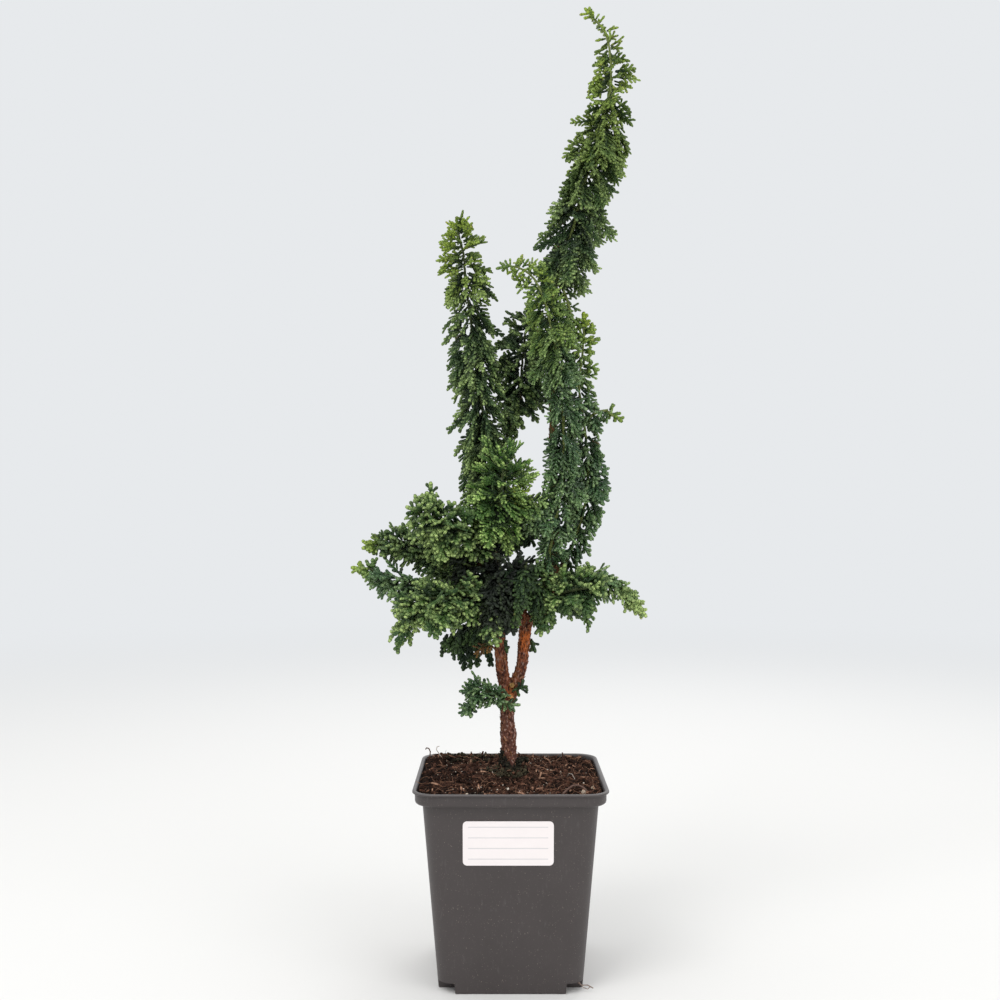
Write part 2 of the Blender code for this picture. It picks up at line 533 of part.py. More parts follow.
def frond_shape(reach, core):
    """A frond in its own frame: +Y outwards, X across, Z to its face. Gives vertices, faces and rods.

    The stalk is a three-sided bar. A side lobe grows from each of its slanting faces, row by row.
    """
    visible = reach - core
    pairs = sum(visible > least for least in PAIRS_FROM) + 1
    start = core + visible * 0.14
    cuts = [core * 0.3] + [start + LOBE_STEP * i for i in range(pairs + 1)]
    cuts.append(max(reach, cuts[-1] + 2.6))
    halves = [FROND_HALF * 0.8] + [FROND_HALF] * pairs + [LOBE_HALF, LOBE_HALF * 0.8]
    rings = [[(-h, y, -FROND_UNDER), (h, y, -FROND_UNDER), (0, y, FROND_TOP)] for y, h in zip(cuts, halves)]
    vertices = [p for ring in rings for p in ring]
    faces = [(0, 1, 2)]
    rods = [((0, core * 0.5, 0), (0, cuts[-1], 0), FROND_HALF + 0.2)]
    for row in range(len(rings) - 1):
        a, b, c = 3 * row, 3 * row + 1, 3 * row + 2
        d, e, f = a + 3, b + 3, c + 3
        faces.append((a, d, e, b))
        lobed = 1 <= row <= pairs
        for near_low, near_high, far_high, far_low, way in ((a, c, f, d, -1), (b, c, f, e, 1)):
            root = (near_low, near_high, far_high, far_low)
            if not lobed:
                faces.append(root if way < 0 else root[::-1])
                continue
            share = (row - 1) / pairs
            length = min(LONGEST_LOBE, visible * 0.5) * (1 - 0.34 * share)
            angle = math.radians(LOWER_LOBE_ANGLE + (UPPER_LOBE_ANGLE - LOWER_LOBE_ANGLE) * share)
            out = Vector((way * math.sin(angle), math.cos(angle), LOBE_RISE * math.sin(angle)))
            across = Vector((-way * math.cos(angle), math.sin(angle), 0))
            origin = Vector((way * FROND_HALF * 0.5, (cuts[row] + cuts[row + 1]) / 2, 0))
            tip = origin + out * length
            first = len(vertices)
            for shift in (-1, 1):
                vertices.append(tuple(tip + across * shift * LOBE_HALF))
            near, far = first, first + 1
            sides = ((near_low, near_high, near), (near_high, far_high, far, near),
                     (far_high, far_low, far), (far_low, near_low, near, far))
            for side in sides:
                faces.append(side if way < 0 else side[::-1])
            rods.append((tuple(origin), tuple(tip), LOBE_HALF + 0.3))
    last = 3 * (len(rings) - 1)
    faces.append((last, last + 2, last + 1))
    return vertices, faces, rods


def frond_frame(rows, at, turn, lift, shoot, chance):
    """Where a frond grows on a stem, and its directions outwards, across and to its face."""
    place = Vector(rows[at][:3])
    ahead = Vector(rows[min(at + 1, len(rows) - 1)][:3]) - Vector(rows[max(at - 1, 0)][:3])
    ahead.normalize()
    level = ahead.cross(Vector((0, 0, 1)))
    level = level.normalized() if level.length > 0.05 else Vector((1, 0, 0))
    upright = level.cross(ahead).normalized()
    spoke = level * math.cos(turn) + upright * math.sin(turn) * (1 - shoot["flat"])
    spoke.normalize()
    sky = Vector((0, 0, 1))
    out = spoke * math.cos(lift) + sky * math.sin(lift) + ahead * shoot["sweep"]
    out.normalize()
    face = sky - out * sky.dot(out)
    face = face.normalized() if face.length > 0.05 else level.cross(out).normalized()
    across = out.cross(face)
    roll = chance.choice((-1, 1)) * chance.uniform(0.4, 1) * shoot["roll"]
    face, across = (face * math.cos(roll) + across * math.sin(roll),
                    across * math.cos(roll) - face * math.sin(roll))
    return place, out, across, face


def frond_places(shoot, rows, count, chance):
    """Rows on a stem where fronds grow, closer where they are long, with their turn and lift."""
    weight = np.cumsum(np.maximum(rows[:, 3], 4.0))
    for i in range(count):
        share = (i + 0.5) / count
        at = int(np.searchsorted(weight, share * weight[-1]))
        low, high = shoot["lift"]
        lift = math.radians(low + (high - low) * share ** 6 + chance.uniform(-10, 10))
        yield at, i * GOLDEN_TURN + chance.uniform(-0.4, 0.4), lift


def place_frond(shoot, frames, reach, core, rods):
    """A frond in the least crowded of its possible frames.

    It is cut shorter where it would meet another shoot, and left out if there is no room for it.
    """
    for shorter in (1.0, 0.8, 0.62):
        length = reach * shorter
        if length < core + 3.2:
            return None
        vertices, faces, own = frond_shape(length, core)
        best = None
        for place, out, across, face in frames:

            def world(p):
                sag = 0.10 * (p[1] / max(reach, 1)) ** 2 * reach
                return place + out * p[1] + across * p[0] + face * (p[2] - sag)

            placed = [(world(start), world(end), radius) for start, end, radius in own]
            strangers, crossed = rods.met(shoot["name"], placed)
            if strangers == 0 and (best is None or crossed < best[0]):
                best = (crossed, placed, [world(v) for v in vertices])
        if best:
            for rod in best[1]:
                rods.add(shoot["name"], *rod, frond=True)
            return new_object("frond", best[2], faces)
    return None


def core_radius(shoot, reach):
    """Radius of the green stem, which the fronds stand out of."""
    return max(CORE_LEAST, reach * shoot.get("core", CORE_SHARE))


def plan_shoots(rods):
    """Cut each shoot's axes into wood and stem, and note the stems as taken."""
    for shoot in SHOOTS:
        shoot["stems"] = []
        for number, axis in enumerate(shoot["axes"]):
            bare = shoot["bare"] if number == 0 else -GAP
            wood, green, way = split_axis(axis, bare)
            if number == 0:
                shoot["wood"] = wood
                shoot["way"] = way
            shoot["stems"].append(green)
            for a, b in zip(green[:-1], green[1:]):
                rods.add(shoot["name"], a[:3], b[:3], core_radius(shoot, max(a[3], b[3])) * 1.1)


def make_tree(rods):
    """Trunk, limbs and the brown foot of every shoot, grown as one piece."""
    bark = finish_of("bark", BARK_RED, 0.9)
    limbs = []
    for route in (TRUNK, LEFT_LIMB, RIGHT_LIMB, LEFT_ARM, RIGHT_ARM, PRUNED_STUB):
        rows = smooth_route(route, LIMB_STEP)[0]
        limbs.append(tube("limb", rows[:, :3], rows[:, 3], TRUNK_SIDES, bark, bumps=BARK_BUMPS))
        for a, b in zip(rows[:-1], rows[1:]):
            rods.add("tree", a[:3], b[:3], max(a[3], b[3]) * 1.08)
    for shoot in SHOOTS:
        rows = shoot["wood"]
        first, last = shoot["twig"]
        radii = np.linspace(first, last, len(rows))
        limbs.append(tube("twig", rows[:, :3], radii, TWIG_SIDES, bark, last_way=shoot["way"]))
        for i in range(len(rows) - 1):
            rods.add("tree", rows[i][:3], rows[i + 1][:3], radii[i])
    tree = limbs.pop(0)
    tree.name = "tree"
    combine(tree, "UNION", limbs, "MANIFOLD")
    keep_outer_skin(tree)
    return tree


def make_shoot(shoot, rods, seed):
    """A green stem with its fronds, grown as one piece."""
    chance = random.Random(seed)
    leaf = finish_of(shoot["name"] + "_leaf", shoot["colour"], 0.6)
    pieces = []
    lengths = [len(rows) for rows in shoot["stems"]]
    for number, (rows, share) in enumerate(zip(shoot["stems"], lengths)):
        radii = [core_radius(shoot, row[3]) for row in rows]
        radii[-1] = min(radii[-1], 2.0)
        way = shoot["way"] if number == 0 else None
        pieces.append(tube("stem", rows[:, :3], radii, CORE_SIDES, leaf, bumps=0.3, first_way=way))
        fine = smooth_route(rows, 2.0)[0]
        count = max(1, round(shoot["fronds"] * share / sum(lengths)))
        for at, turn, lift in frond_places(shoot, fine, count, chance):
            reach = fine[at][3] * chance.uniform(0.92, 1.1) / max(LEAST_SPREAD, math.cos(lift))
            reach *= 1 + 0.25 * shoot["sweep"]
            frames = [frond_frame(fine, at, turn + aside, lift, shoot, chance) for aside in TURNS_TRIED]
            core = core_radius(shoot, fine[at][3])
            frond = place_frond(shoot, frames, reach, core, rods)
            if frond:
                pieces.append(frond)
        tip = Vector(fine[-1][:3]) - Vector(fine[-3][:3])
        ahead = tip.normalized()
        across = ahead.cross(Vector((0, 0, 1))).normalized() if abs(ahead.z) < 0.95 else Vector((1, 0, 0))
        frame = (Vector(fine[-2][:3]), ahead, across, across.cross(ahead))
        frond = place_frond(shoot, [frame], max(7.0, fine[-1][3] * 1.5), 1.0, rods)
        if frond:
            pieces.append(frond)
    body = pieces.pop(0)
    body.name = shoot["name"]
    combine(body, "UNION", pieces, "MANIFOLD")
    keep_outer_skin(body)
    return body


def main():
    clear_scene()
    make_pot()
    make_label()
    make_soil()
    rods = Rods()
    plan_shoots(rods)
    make_tree(rods)
    for number, shoot in enumerate(SHOOTS):
        make_shoot(shoot, rods, SEED + number)


main()
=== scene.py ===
# %% [markdown]
# # A hinoki cypress in its nursery pot
# The solids of the part are already built: a pot, its label, the soil, the wood, and one solid for each
# leafy shoot. This script gives every one of them its finished look. It loads the solids as a fixed frame,
# models finer pieces in their places, and never moves a solid.

# %% Load the frame
import json
import math
from random import Random

import bpy
import numpy as np
from mathutils import Matrix, Vector, noise

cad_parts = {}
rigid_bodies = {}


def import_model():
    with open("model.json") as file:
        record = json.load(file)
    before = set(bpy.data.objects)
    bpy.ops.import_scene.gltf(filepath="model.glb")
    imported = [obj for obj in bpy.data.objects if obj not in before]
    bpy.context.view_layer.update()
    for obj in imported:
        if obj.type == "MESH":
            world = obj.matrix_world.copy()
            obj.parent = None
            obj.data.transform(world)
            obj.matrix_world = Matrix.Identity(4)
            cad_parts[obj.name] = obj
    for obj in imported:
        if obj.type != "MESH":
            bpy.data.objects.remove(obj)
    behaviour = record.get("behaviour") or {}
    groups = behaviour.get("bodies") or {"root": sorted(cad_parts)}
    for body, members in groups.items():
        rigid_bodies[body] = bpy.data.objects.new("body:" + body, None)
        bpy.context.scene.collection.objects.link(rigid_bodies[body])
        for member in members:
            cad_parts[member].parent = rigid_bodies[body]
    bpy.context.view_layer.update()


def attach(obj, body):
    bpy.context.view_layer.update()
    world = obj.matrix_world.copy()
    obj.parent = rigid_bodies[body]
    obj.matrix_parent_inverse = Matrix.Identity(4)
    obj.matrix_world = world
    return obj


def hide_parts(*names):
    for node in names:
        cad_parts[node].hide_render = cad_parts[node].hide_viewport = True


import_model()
MM = 0.001

# %% [markdown]
# ## Camera, light and floor
# The photograph was taken level, from about 70 cm away, so the camera looks straight along +Y and only its
# frame is shifted a little. Two large soft lamps and a pale sky do the work of a light tent: they leave the
# gaps between the sprays dark, which is what makes foliage read as deep.

# %% Camera
camera = bpy.data.objects.new("camera", bpy.data.cameras.new("camera"))
bpy.context.scene.collection.objects.link(camera)
camera.location = (-6 * MM, -707 * MM, 274 * MM)
camera.rotation_euler = (math.radians(90), 0, 0)
camera.data.sensor_width = 36
camera.data.lens = 42.66
camera.data.shift_y = 0.007
bpy.context.scene.camera = camera
bpy.context.scene.view_settings.view_transform = "Standard"
print("camera at", [round(v, 3) for v in camera.location], "lens", round(camera.data.lens, 2))


# %% Light and floor
def soft_lamp(name, place, aim, width, power):
    """A square area lamp that faces the aim: metres and watts."""
    lamp = bpy.data.objects.new(name, bpy.data.lights.new(name, "AREA"))
    bpy.context.scene.collection.objects.link(lamp)
    lamp.data.size = width
    lamp.data.energy = power
    lamp.location = place
    lamp.rotation_euler = (Vector(aim) - Vector(place)).to_track_quat("-Z", "Y").to_euler()


PALE = (0.80, 0.82, 0.84)
soft_lamp("key", (-0.7, -0.9, 1.35), (0, 0, 0.25), 0.8, 9)
soft_lamp("fill", (0.9, -0.9, 0.7), (0, 0, 0.25), 0.9, 4)
soft_lamp("back", (0.3, 1.1, 1.2), (0, 0, 0.3), 0.9, 5)
world = bpy.data.worlds.new("studio")
world.use_nodes = True
world.node_tree.nodes["Background"].inputs["Color"].default_value = (*PALE, 1)
world.node_tree.nodes["Background"].inputs["Strength"].default_value = 1.0
bpy.context.scene.world = world

bpy.ops.mesh.primitive_circle_add(vertices=64, radius=12, fill_type="NGON")
floor = bpy.context.object
floor.name = "floor"
print("lamps:", len(bpy.data.lights), "floor:", floor.dimensions[0], "m across")

# %% [markdown]
# ## Sums on shader sockets
# A procedural material is mostly arithmetic. Wrapping a socket in a small class lets that arithmetic be
# written as ordinary Python, and every other node comes from one method that takes its type, its settings
# and its sockets.


# %% Shader helpers
class Wire:
    """A number socket that can be added, multiplied and so on."""

    def __init__(self, finish, socket):
        self.finish, self.socket = finish, socket

    def sum(self, operation, first, second):
        return self.finish.node("Math", {"operation": operation}, {0: first, 1: second})

    def __add__(self, other):
        return self.sum("ADD", self, other)

    def __radd__(self, other):
        return self.sum("ADD", other, self)

    def __sub__(self, other):
        return self.sum("SUBTRACT", self, other)

    def __rsub__(self, other):
        return self.sum("SUBTRACT", other, self)

    def __mul__(self, other):
        return self.sum("MULTIPLY", self, other)

    def __rmul__(self, other):
        return self.sum("MULTIPLY", other, self)


class Finish:
    """A material with a Principled shader, and short ways to add nodes to it."""

    def __init__(self, name, roughness=0.5, specular=0.5):
        self.material = bpy.data.materials.new(name)
        self.material.use_nodes = True
        self.tree = self.material.node_tree
        self.shader = self.tree.nodes["Principled BSDF"]
        self.shader.inputs["Roughness"].default_value = roughness
        self.shader.inputs["Specular IOR Level"].default_value = specular
        self.place = self.node("TexCoord", out="Object")

    def node(self, kind, settings=None, sockets=None, out=0):
        """Add a node: its settings first, then a value or a link for each socket."""
        made = self.tree.nodes.new("ShaderNode" + kind)
        for key, value in (settings or {}).items():
            setattr(made, key, value)
        for key, value in (sockets or {}).items():
            self.connect(value, made.inputs[key])
        return Wire(self, made.outputs[out])

    def connect(self, value, socket):
        """Link a wire to a socket, or set the socket's own value."""
        if isinstance(value, Wire):
            self.tree.links.new(value.socket, socket)
        elif isinstance(value, tuple) and len(value) == 3 and socket.type == "RGBA":
            socket.default_value = (*value, 1)
        else:
            socket.default_value = value

    def set(self, **sockets):
        """Feed the shader's own sockets: an underscore stands for a space."""
        for key, value in sockets.items():
            self.connect(value, self.shader.inputs[key.replace("_", " ")])
        return self.material

    def mix(self, factor, first, second):
        """The first colour at factor 0, the second at 1."""
        return self.node("Mix", {"data_type": "RGBA"}, {0: factor, 6: first, 7: second}, out=2)

    def layers(self, base, *layers):
        """A base colour with others laid over it in turn, each given as its share and its colour."""
        for share, colour in layers:
            base = self.mix(share, base, colour)
        return base

    def noise(self, size_mm, detail=3, at=None, stretch=None):
        """Noise whose grains are about size_mm, from 0 to 1."""
        at = at or self.place
        if stretch:
            at = self.node("Mapping", None, {"Vector": at, "Scale": stretch})
        return self.node("TexNoise", None, {"Vector": at, "Scale": 1 / (size_mm * MM), "Detail": detail})

    def steps(self, value, low, high):
        """0 below low, 1 above high, smooth between."""
        return self.node("MapRange", {"interpolation_type": "SMOOTHSTEP"},
                         {0: value, 1: low, 2: high, 3: 0.0, 4: 1.0})

    def attribute(self, name):
        """A number that is stored on the mesh's points."""
        return self.node("Attribute", {"attribute_name": name}, out="Fac")

    def height(self):
        """Height above the surface that the pot stands on, in metres."""
        return self.node("SeparateXYZ", None, {0: self.place}, out="Z")

    def bump(self, height, depth_mm, strength):
        """Small relief, for the shader's Normal."""
        return self.node("Bump", None, {"Height": height, "Distance": depth_mm * MM, "Strength": strength},
                         out="Normal")


# %% [markdown]
# The floor is a plain pale disc. Far out it takes on the colour of the sky, so that no horizon cuts across
# the picture behind the tree.

# %% Floor finish
pale = Finish("floor_pale", roughness=0.9, specular=0.1)
pale.set(Base_Color=(0.84, 0.825, 0.80))
far = pale.node("VectorMath", {"operation": "LENGTH"}, {0: pale.place}, out="Value")
glow = pale.node("Emission", None, {"Color": PALE, "Strength": 1.0})
blend = pale.node("MixShader", None, {0: pale.steps(far, 0.35, 2.2), 2: glow})
pale.tree.links.new(pale.shader.outputs[0], blend.socket.node.inputs[1])
pale.tree.links.new(blend.socket, pale.tree.nodes["Material Output"].inputs["Surface"])
floor.data.materials.append(pale.material)
print("floor finish nodes:", len(pale.tree.nodes))

# %% [markdown]
# ## Working by hand, in code
# Blender's operators act on whatever is selected. These helpers do what a modeller does between two
# operations: clear the selection, pick some faces, and fix an object's place into its mesh, because a
# finished piece keeps its object at the origin.


# %% Modelling helpers
def start_fresh():
    """Leave edit mode and select nothing."""
    if bpy.context.object and bpy.context.object.mode == "EDIT":
        bpy.ops.object.mode_set(mode="OBJECT")
    bpy.ops.object.select_all(action="DESELECT")


def take(piece):
    """Make a piece the active one, and the only one that is selected."""
    start_fresh()
    bpy.context.view_layer.objects.active = piece
    piece.select_set(True)


def pick_faces(test):
    """In edit mode, select the faces that pass the test."""
    bpy.ops.mesh.select_all(action="DESELECT")
    bpy.ops.object.mode_set(mode="OBJECT")
    for face in bpy.context.object.data.polygons:
        face.select = test(face)
    bpy.ops.object.mode_set(mode="EDIT")
    bpy.ops.mesh.select_mode(type="FACE")


def pull(dx=0.0, dy=0.0, dz=0.0):
    """Extrude the selected faces by some millimetres."""
    bpy.ops.mesh.extrude_region_move(TRANSFORM_OT_translate={"value": (dx * MM, dy * MM, dz * MM)})


def pull_levels(section):
    """Extrude the selected faces up a section of (half width, height), resized at each level."""
    for (half, low), (next_half, high) in zip(section, section[1:]):
        pull(dz=high - low)
        bpy.ops.transform.resize(value=(next_half / half, next_half / half, 1), center_override=(0, 0, 0))


def face_outwards():
    """In edit mode, turn all faces to point outwards."""
    bpy.ops.mesh.select_all(action="SELECT")
    bpy.ops.mesh.normals_make_consistent(inside=False)


def settle(name):
    """Name the active object and fix its place, turn and scale into its mesh."""
    piece = bpy.context.object
    take(piece)
    bpy.ops.object.transform_apply(location=True, rotation=True, scale=True)
    piece.name = name
    piece.data.name = name
    return piece


def apply_modifier(piece, kind, **settings):
    """Add a modifier, set it and apply it."""
    take(piece)
    modifier = piece.modifiers.new(kind.lower(), kind)
    for key, value in settings.items():
        setattr(modifier, key, value)
    bpy.ops.object.modifier_apply(modifier=modifier.name)


def smooth(piece, degrees):
    """Smooth shading that keeps the edges sharper than the angle."""
    take(piece)
    bpy.ops.object.shade_smooth_by_angle(angle=math.radians(degrees))


def dress(piece, finish, slot, *nodes):
    """Give a piece its material and its body, and hide the solids that it stands for; slot is not used."""
    piece.data.materials.clear()
    piece.data.materials.append(finish)
    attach(piece, "root")
    if nodes:
        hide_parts(*nodes)
    print(piece.name, "faces:", len(piece.data.polygons))


# %% [markdown]
# ## The pot
# A square nursery pot is one injection moulding: thin slanted walls, a hollow band under a flat lip, and
# corners that stand clear of the ground so that water can leave. It is drawn the way it would be traced
# from its section. A square with rounded corners is pulled up level by level, resized at each, over the lip
# and down again inside. The corners are then cut away underneath.

# %% Pot finish
plastic = Finish("pot_plastic")
smears = plastic.noise(26, 4)
scuffs = plastic.steps(plastic.noise(1.6, 5, stretch=(1, 1, 0.25)), 0.58, 0.78)
dust = plastic.steps(plastic.noise(0.7, 2), 0.67, 0.75)
# Painted highlight: the top of the lip is made lighter, as where the light falls on it.
lip_top_highlight = plastic.steps(plastic.height(), 114.6 * MM, 115.4 * MM)
grey = plastic.layers((0.040, 0.032, 0.031), (smears, (0.056, 0.046, 0.045)),
                      (scuffs * 0.22, (0.14, 0.13, 0.125)),
                      (dust * 0.5, (0.36, 0.30, 0.25)), (lip_top_highlight * 0.5, (0.16, 0.145, 0.14)))
grain = plastic.noise(0.35, 2)
pot_finish = plastic.set(Base_Color=grey, Roughness=0.36 + smears * 0.16 + scuffs * 0.12,
                         Normal=plastic.bump(grain + scuffs * 0.6, 0.05, 0.35))

# %% Pot walls, band and lip
POT_SECTION = [(40.4, 0), (41.0, 0.6), (45.4, 54), (49.8, 108.0), (52.9, 108.1), (53.5, 108.7), (53.8, 109.8),
               (53.85, 113.8), (54.1, 114.1), (54.9, 114.15), (55.2, 114.5), (55.2, 115.1), (54.9, 115.5),
               (54.4, 115.7), (53.8, 115.6), (53.1, 115.1), (52.7, 114.4), (52.5, 110.4), (52.1, 110.1),
               (48.9, 109.8), (48.5, 109.2), (47.7, 100), (41.0, 9)]
FOOT_CORNER = 9
start_fresh()
bpy.ops.mesh.primitive_plane_add(size=2 * POT_SECTION[0][0] * MM)
bpy.ops.object.mode_set(mode="EDIT")
bpy.ops.mesh.bevel(offset=FOOT_CORNER * MM, segments=7, affect="VERTICES")
pull_levels(POT_SECTION)
face_outwards()
pot = settle("pot_moulding")
print("pot levels:", len(POT_SECTION), "size in mm:", [round(v / MM, 1) for v in pot.dimensions])


# %% Feet and drain holes
DRAIN_AT, DRAIN_RADIUS, CUT_LEAN = 34.6, 3.2, 1.6


def cutter_block(sx, sy):
    """A block that clears one corner underneath, with its inner sides leaning outwards."""
    start_fresh()
    bpy.ops.mesh.primitive_cube_add(size=20 * MM, location=(sx * 40 * MM, sy * 40 * MM, -3.8 * MM))
    bpy.ops.object.mode_set(mode="EDIT")
    pick_faces(lambda face: face.normal.z > 0.9)
    bpy.ops.transform.translate(value=(sx * CUT_LEAN * MM, sy * CUT_LEAN * MM, 0))
    return settle("corner_cutter")


cutters = bpy.data.collections.new("cutters")
bpy.context.scene.collection.children.link(cutters)
for sx in (-1, 1):
    for sy in (-1, 1):
        cutters.objects.link(cutter_block(sx, sy))
        start_fresh()
        bpy.ops.mesh.primitive_cylinder_add(vertices=20, radius=DRAIN_RADIUS * MM, depth=6 * MM,
                                            location=(sx * DRAIN_AT * MM, sy * DRAIN_AT * MM, 7 * MM))
        cutters.objects.link(settle("drain_cutter"))
apply_modifier(pot, "BOOLEAN", operation="DIFFERENCE", operand_type="COLLECTION", collection=cutters)
for cutter in list(cutters.objects):
    bpy.data.objects.remove(cutter)
bpy.data.collections.remove(cutters)
smooth(pot, 38)
dress(pot, pot_finish, "pot_plastic", "pot")

# %% [markdown]
# ## The label
# A printer label has rounded corners and almost no thickness. A plane with bevelled corners is pulled out
# by a third of a millimetre and leant against the slanted wall. It stays blank but for a few ruled lines,
# which are colour and not shape.

# %% Label finish
paper = Finish("label_paper", roughness=0.42)
rule = paper.node("TexWave", {"wave_type": "BANDS", "bands_direction": "Z"},
                  {"Vector": paper.place, "Scale": 52.0, "Distortion": 0.0, "Phase Offset": -2.7})
across = paper.node("SeparateXYZ", None, {0: paper.place}, out="X")
inside = paper.steps(across, -24 * MM, -23.6 * MM) * (1 - paper.steps(across, 20.6 * MM, 21 * MM))
lines = paper.steps(rule, 0.975, 0.995) * inside
white = paper.layers((0.86, 0.80, 0.79), (paper.noise(9, 3), (0.90, 0.84, 0.83)),
                     (lines * 0.55, (0.42, 0.43, 0.46)))
label_finish = paper.set(Base_Color=white, Normal=paper.bump(paper.noise(0.5, 2), 0.02, 0.3))

# %% Label sticker
LABEL_WIDTH, LABEL_HEIGHT, LABEL_THICK = 50.6, 25.2, 0.35
LABEL_X, LABEL_Z, LABEL_GAP = -1.4, 87.0, 0.12
WALL_FOOT, WALL_LEAN = 41, 8.8 / 108.2
start_fresh()
bpy.ops.mesh.primitive_plane_add(size=1)
bpy.context.object.scale = (LABEL_WIDTH * MM, LABEL_HEIGHT * MM, 1)
settle("label_sticker")
bpy.ops.object.mode_set(mode="EDIT")
bpy.ops.mesh.bevel(offset=2.4 * MM, segments=6, affect="VERTICES")
pull(dz=LABEL_THICK)
face_outwards()
start_fresh()
label = bpy.context.object
label.rotation_euler = (math.radians(90) + math.atan(WALL_LEAN), 0, 0)
label.location = (LABEL_X * MM, -(WALL_FOOT + WALL_LEAN * LABEL_Z + LABEL_GAP) * MM, LABEL_Z * MM)
label = settle("label_sticker")
smooth(label, 40)
dress(label, label_finish, "label_paper", "label")

# %% [markdown]
# ## Many copies of one small shape
# Crumbs, chips, bark scales and leaf fingers are each modelled once. Hundreds of copies are then turned,
# stretched and joined in one mesh, with numbers stored on its points for the material to read.


# %% Copying helpers
def shape_of(piece):
    """A modelled shape as arrays of points and faces in millimetres; the object is removed."""
    points = np.array([v.co[:] for v in piece.data.vertices]) / MM
    faces = [tuple(face.vertices) for face in piece.data.polygons]
    bpy.data.objects.remove(piece)
    return points, faces


def flatten(faces):
    """Faces as one run of corners, and where each face starts in it."""
    return (np.array([corner for face in faces for corner in face]),
            np.cumsum([0] + [len(face) for face in faces])[:-1])


def join_parts(name, parts):
    """One mesh from parts: each its points in millimetres, corners, face starts and numbers by name."""
    points, loops, starts, shift, corner = [], [], [], 0, 0
    for own, own_loops, own_starts, _ in parts:
        points.append(own)
        loops.append(own_loops + shift)
        starts.append(own_starts + corner)
        shift += len(own)
        corner += len(own_loops)
    mesh = bpy.data.meshes.new(name)
    mesh.vertices.add(shift)
    mesh.vertices.foreach_set("co", (np.concatenate(points) * MM).ravel())
    mesh.loops.add(corner)
    mesh.loops.foreach_set("vertex_index", np.concatenate(loops))
    mesh.polygons.add(sum(len(own) for own in starts))
    mesh.polygons.foreach_set("loop_start", np.concatenate(starts))
    for key in parts[0][3]:
        numbers = mesh.attributes.new(key, "FLOAT", "POINT").data
        numbers.foreach_set("value", np.concatenate([part[3][key] for part in parts]))
    mesh.update(calc_edges=True)
    mesh.validate()
    piece = bpy.data.objects.new(name, mesh)
    bpy.context.scene.collection.objects.link(piece)
    return piece


def scatter(name, shapes, places, shade):
    """Copies of modelled shapes, each at (which shape, 3x3 turn and size, point), with a shade of its own."""
    flat = [flatten(faces) for _, faces in shapes]
    parts = []
    for (which, turn, at), own_shade in zip(places, shade):
        own = shapes[which][0] @ np.array(turn).T + np.array(at)
        parts.append((own, *flat[which], {"shade": np.full(len(own), own_shade)}))
    return join_parts(name, parts)


def random_turn(chance, flat=1.0):
    """A random rotation; flat below 1 keeps the shape's Z nearer to upright."""
    axis = Vector((chance.gauss(0, 1), chance.gauss(0, 1), chance.gauss(0, 1))).normalized()
    tip = Matrix.Rotation(chance.uniform(0, math.pi) * flat, 3, axis)
    return np.array(tip @ Matrix.Rotation(chance.uniform(0, 2 * math.pi), 3, "Z"))


# %% [markdown]
# ## The soil
# Potting peat is a dark, fibrous crumb with bark chips, grit and a little moss. A dense grid, pulled up
# from the rim's height, gets the mound and the lumps. Loose bits then lie on it, because crumbs that catch
# the light on their own edges are what tells soil from a painted lump.

# %% Soil finish
def dark_patches(finish):
    """How dark the soil is at a place, in patches, more of them to the left; the same for every bit there."""
    across = finish.node("SeparateXYZ", None, {0: finish.place}, out="X")
    return 1 - finish.steps(finish.noise(10, 4) + across * 1.6, 0.36, 0.56)


peat = Finish("soil_peat", roughness=0.95, specular=0.05)
clods = peat.noise(5, 6)
fine = peat.noise(0.8, 4)
darkest_peat = (0.006, 0.004, 0.003)
brown = peat.layers(darkest_peat, (peat.steps(clods, 0.38, 0.64), (0.060, 0.029, 0.019)),
                    (peat.steps(fine, 0.55, 0.72) * 0.7, (0.17, 0.088, 0.055)), (dark_patches(peat) * 0.7, darkest_peat))
soil_finish = peat.set(Base_Color=brown, Normal=peat.bump(fine + clods, 1.2, 1.0))

# %% Soil shape
SOIL_LEVELS = [(46.9, 100.0), (48.1, 109.9), (52.0, 110.7), (52.0, 111.6)]
SOIL_HALF, SOIL_CORNER, SOIL_TOP = 52.0, 10.5, 113.2
MOUND_HEIGHT, MOUND_REACH = 5.2, 22
TRUNK_FOOT = (0, 5)


def ramp(value, low, high):
    """0 below low, 1 above high, straight between."""
    return min(1.0, max(0.0, (value - low) / (high - low)))


def soil_height(x, y):
    """The soil's height, as in the solid: a low mound round the trunk, banked up at the back and left."""
    mound = MOUND_HEIGHT * math.exp(-(math.hypot(x, y - TRUNK_FOOT[1]) / MOUND_REACH) ** 2)
    bank = max(2.6 * ramp(y, 26, 43) * (1 - 0.75 * ramp(x, 8, 22)), 1.6 * ramp(-x, 38, 49))
    lumps = 1.5 * noise.noise(Vector((x / 9, y / 9, 4.0)))
    lumps += 1.2 * noise.noise(Vector((x / 3.7, y / 3.7, 7.0)))
    pits = 2.6 * max(0.0, noise.noise(Vector((x / 5, y / 5, 12.0))) - 0.1)
    return SOIL_TOP + mound + bank + lumps - pits


def inside_rim(x, y, half=SOIL_HALF):
    """A point moved in to the rounded square of the rim, if it lies outside."""
    straight = half - SOIL_CORNER
    over = Vector((max(abs(x) - straight, 0), max(abs(y) - straight, 0)))
    if over.length > SOIL_CORNER:
        over *= SOIL_CORNER / over.length
    return (math.copysign(min(abs(x), straight) + over.x, x),
            math.copysign(min(abs(y), straight) + over.y, y))


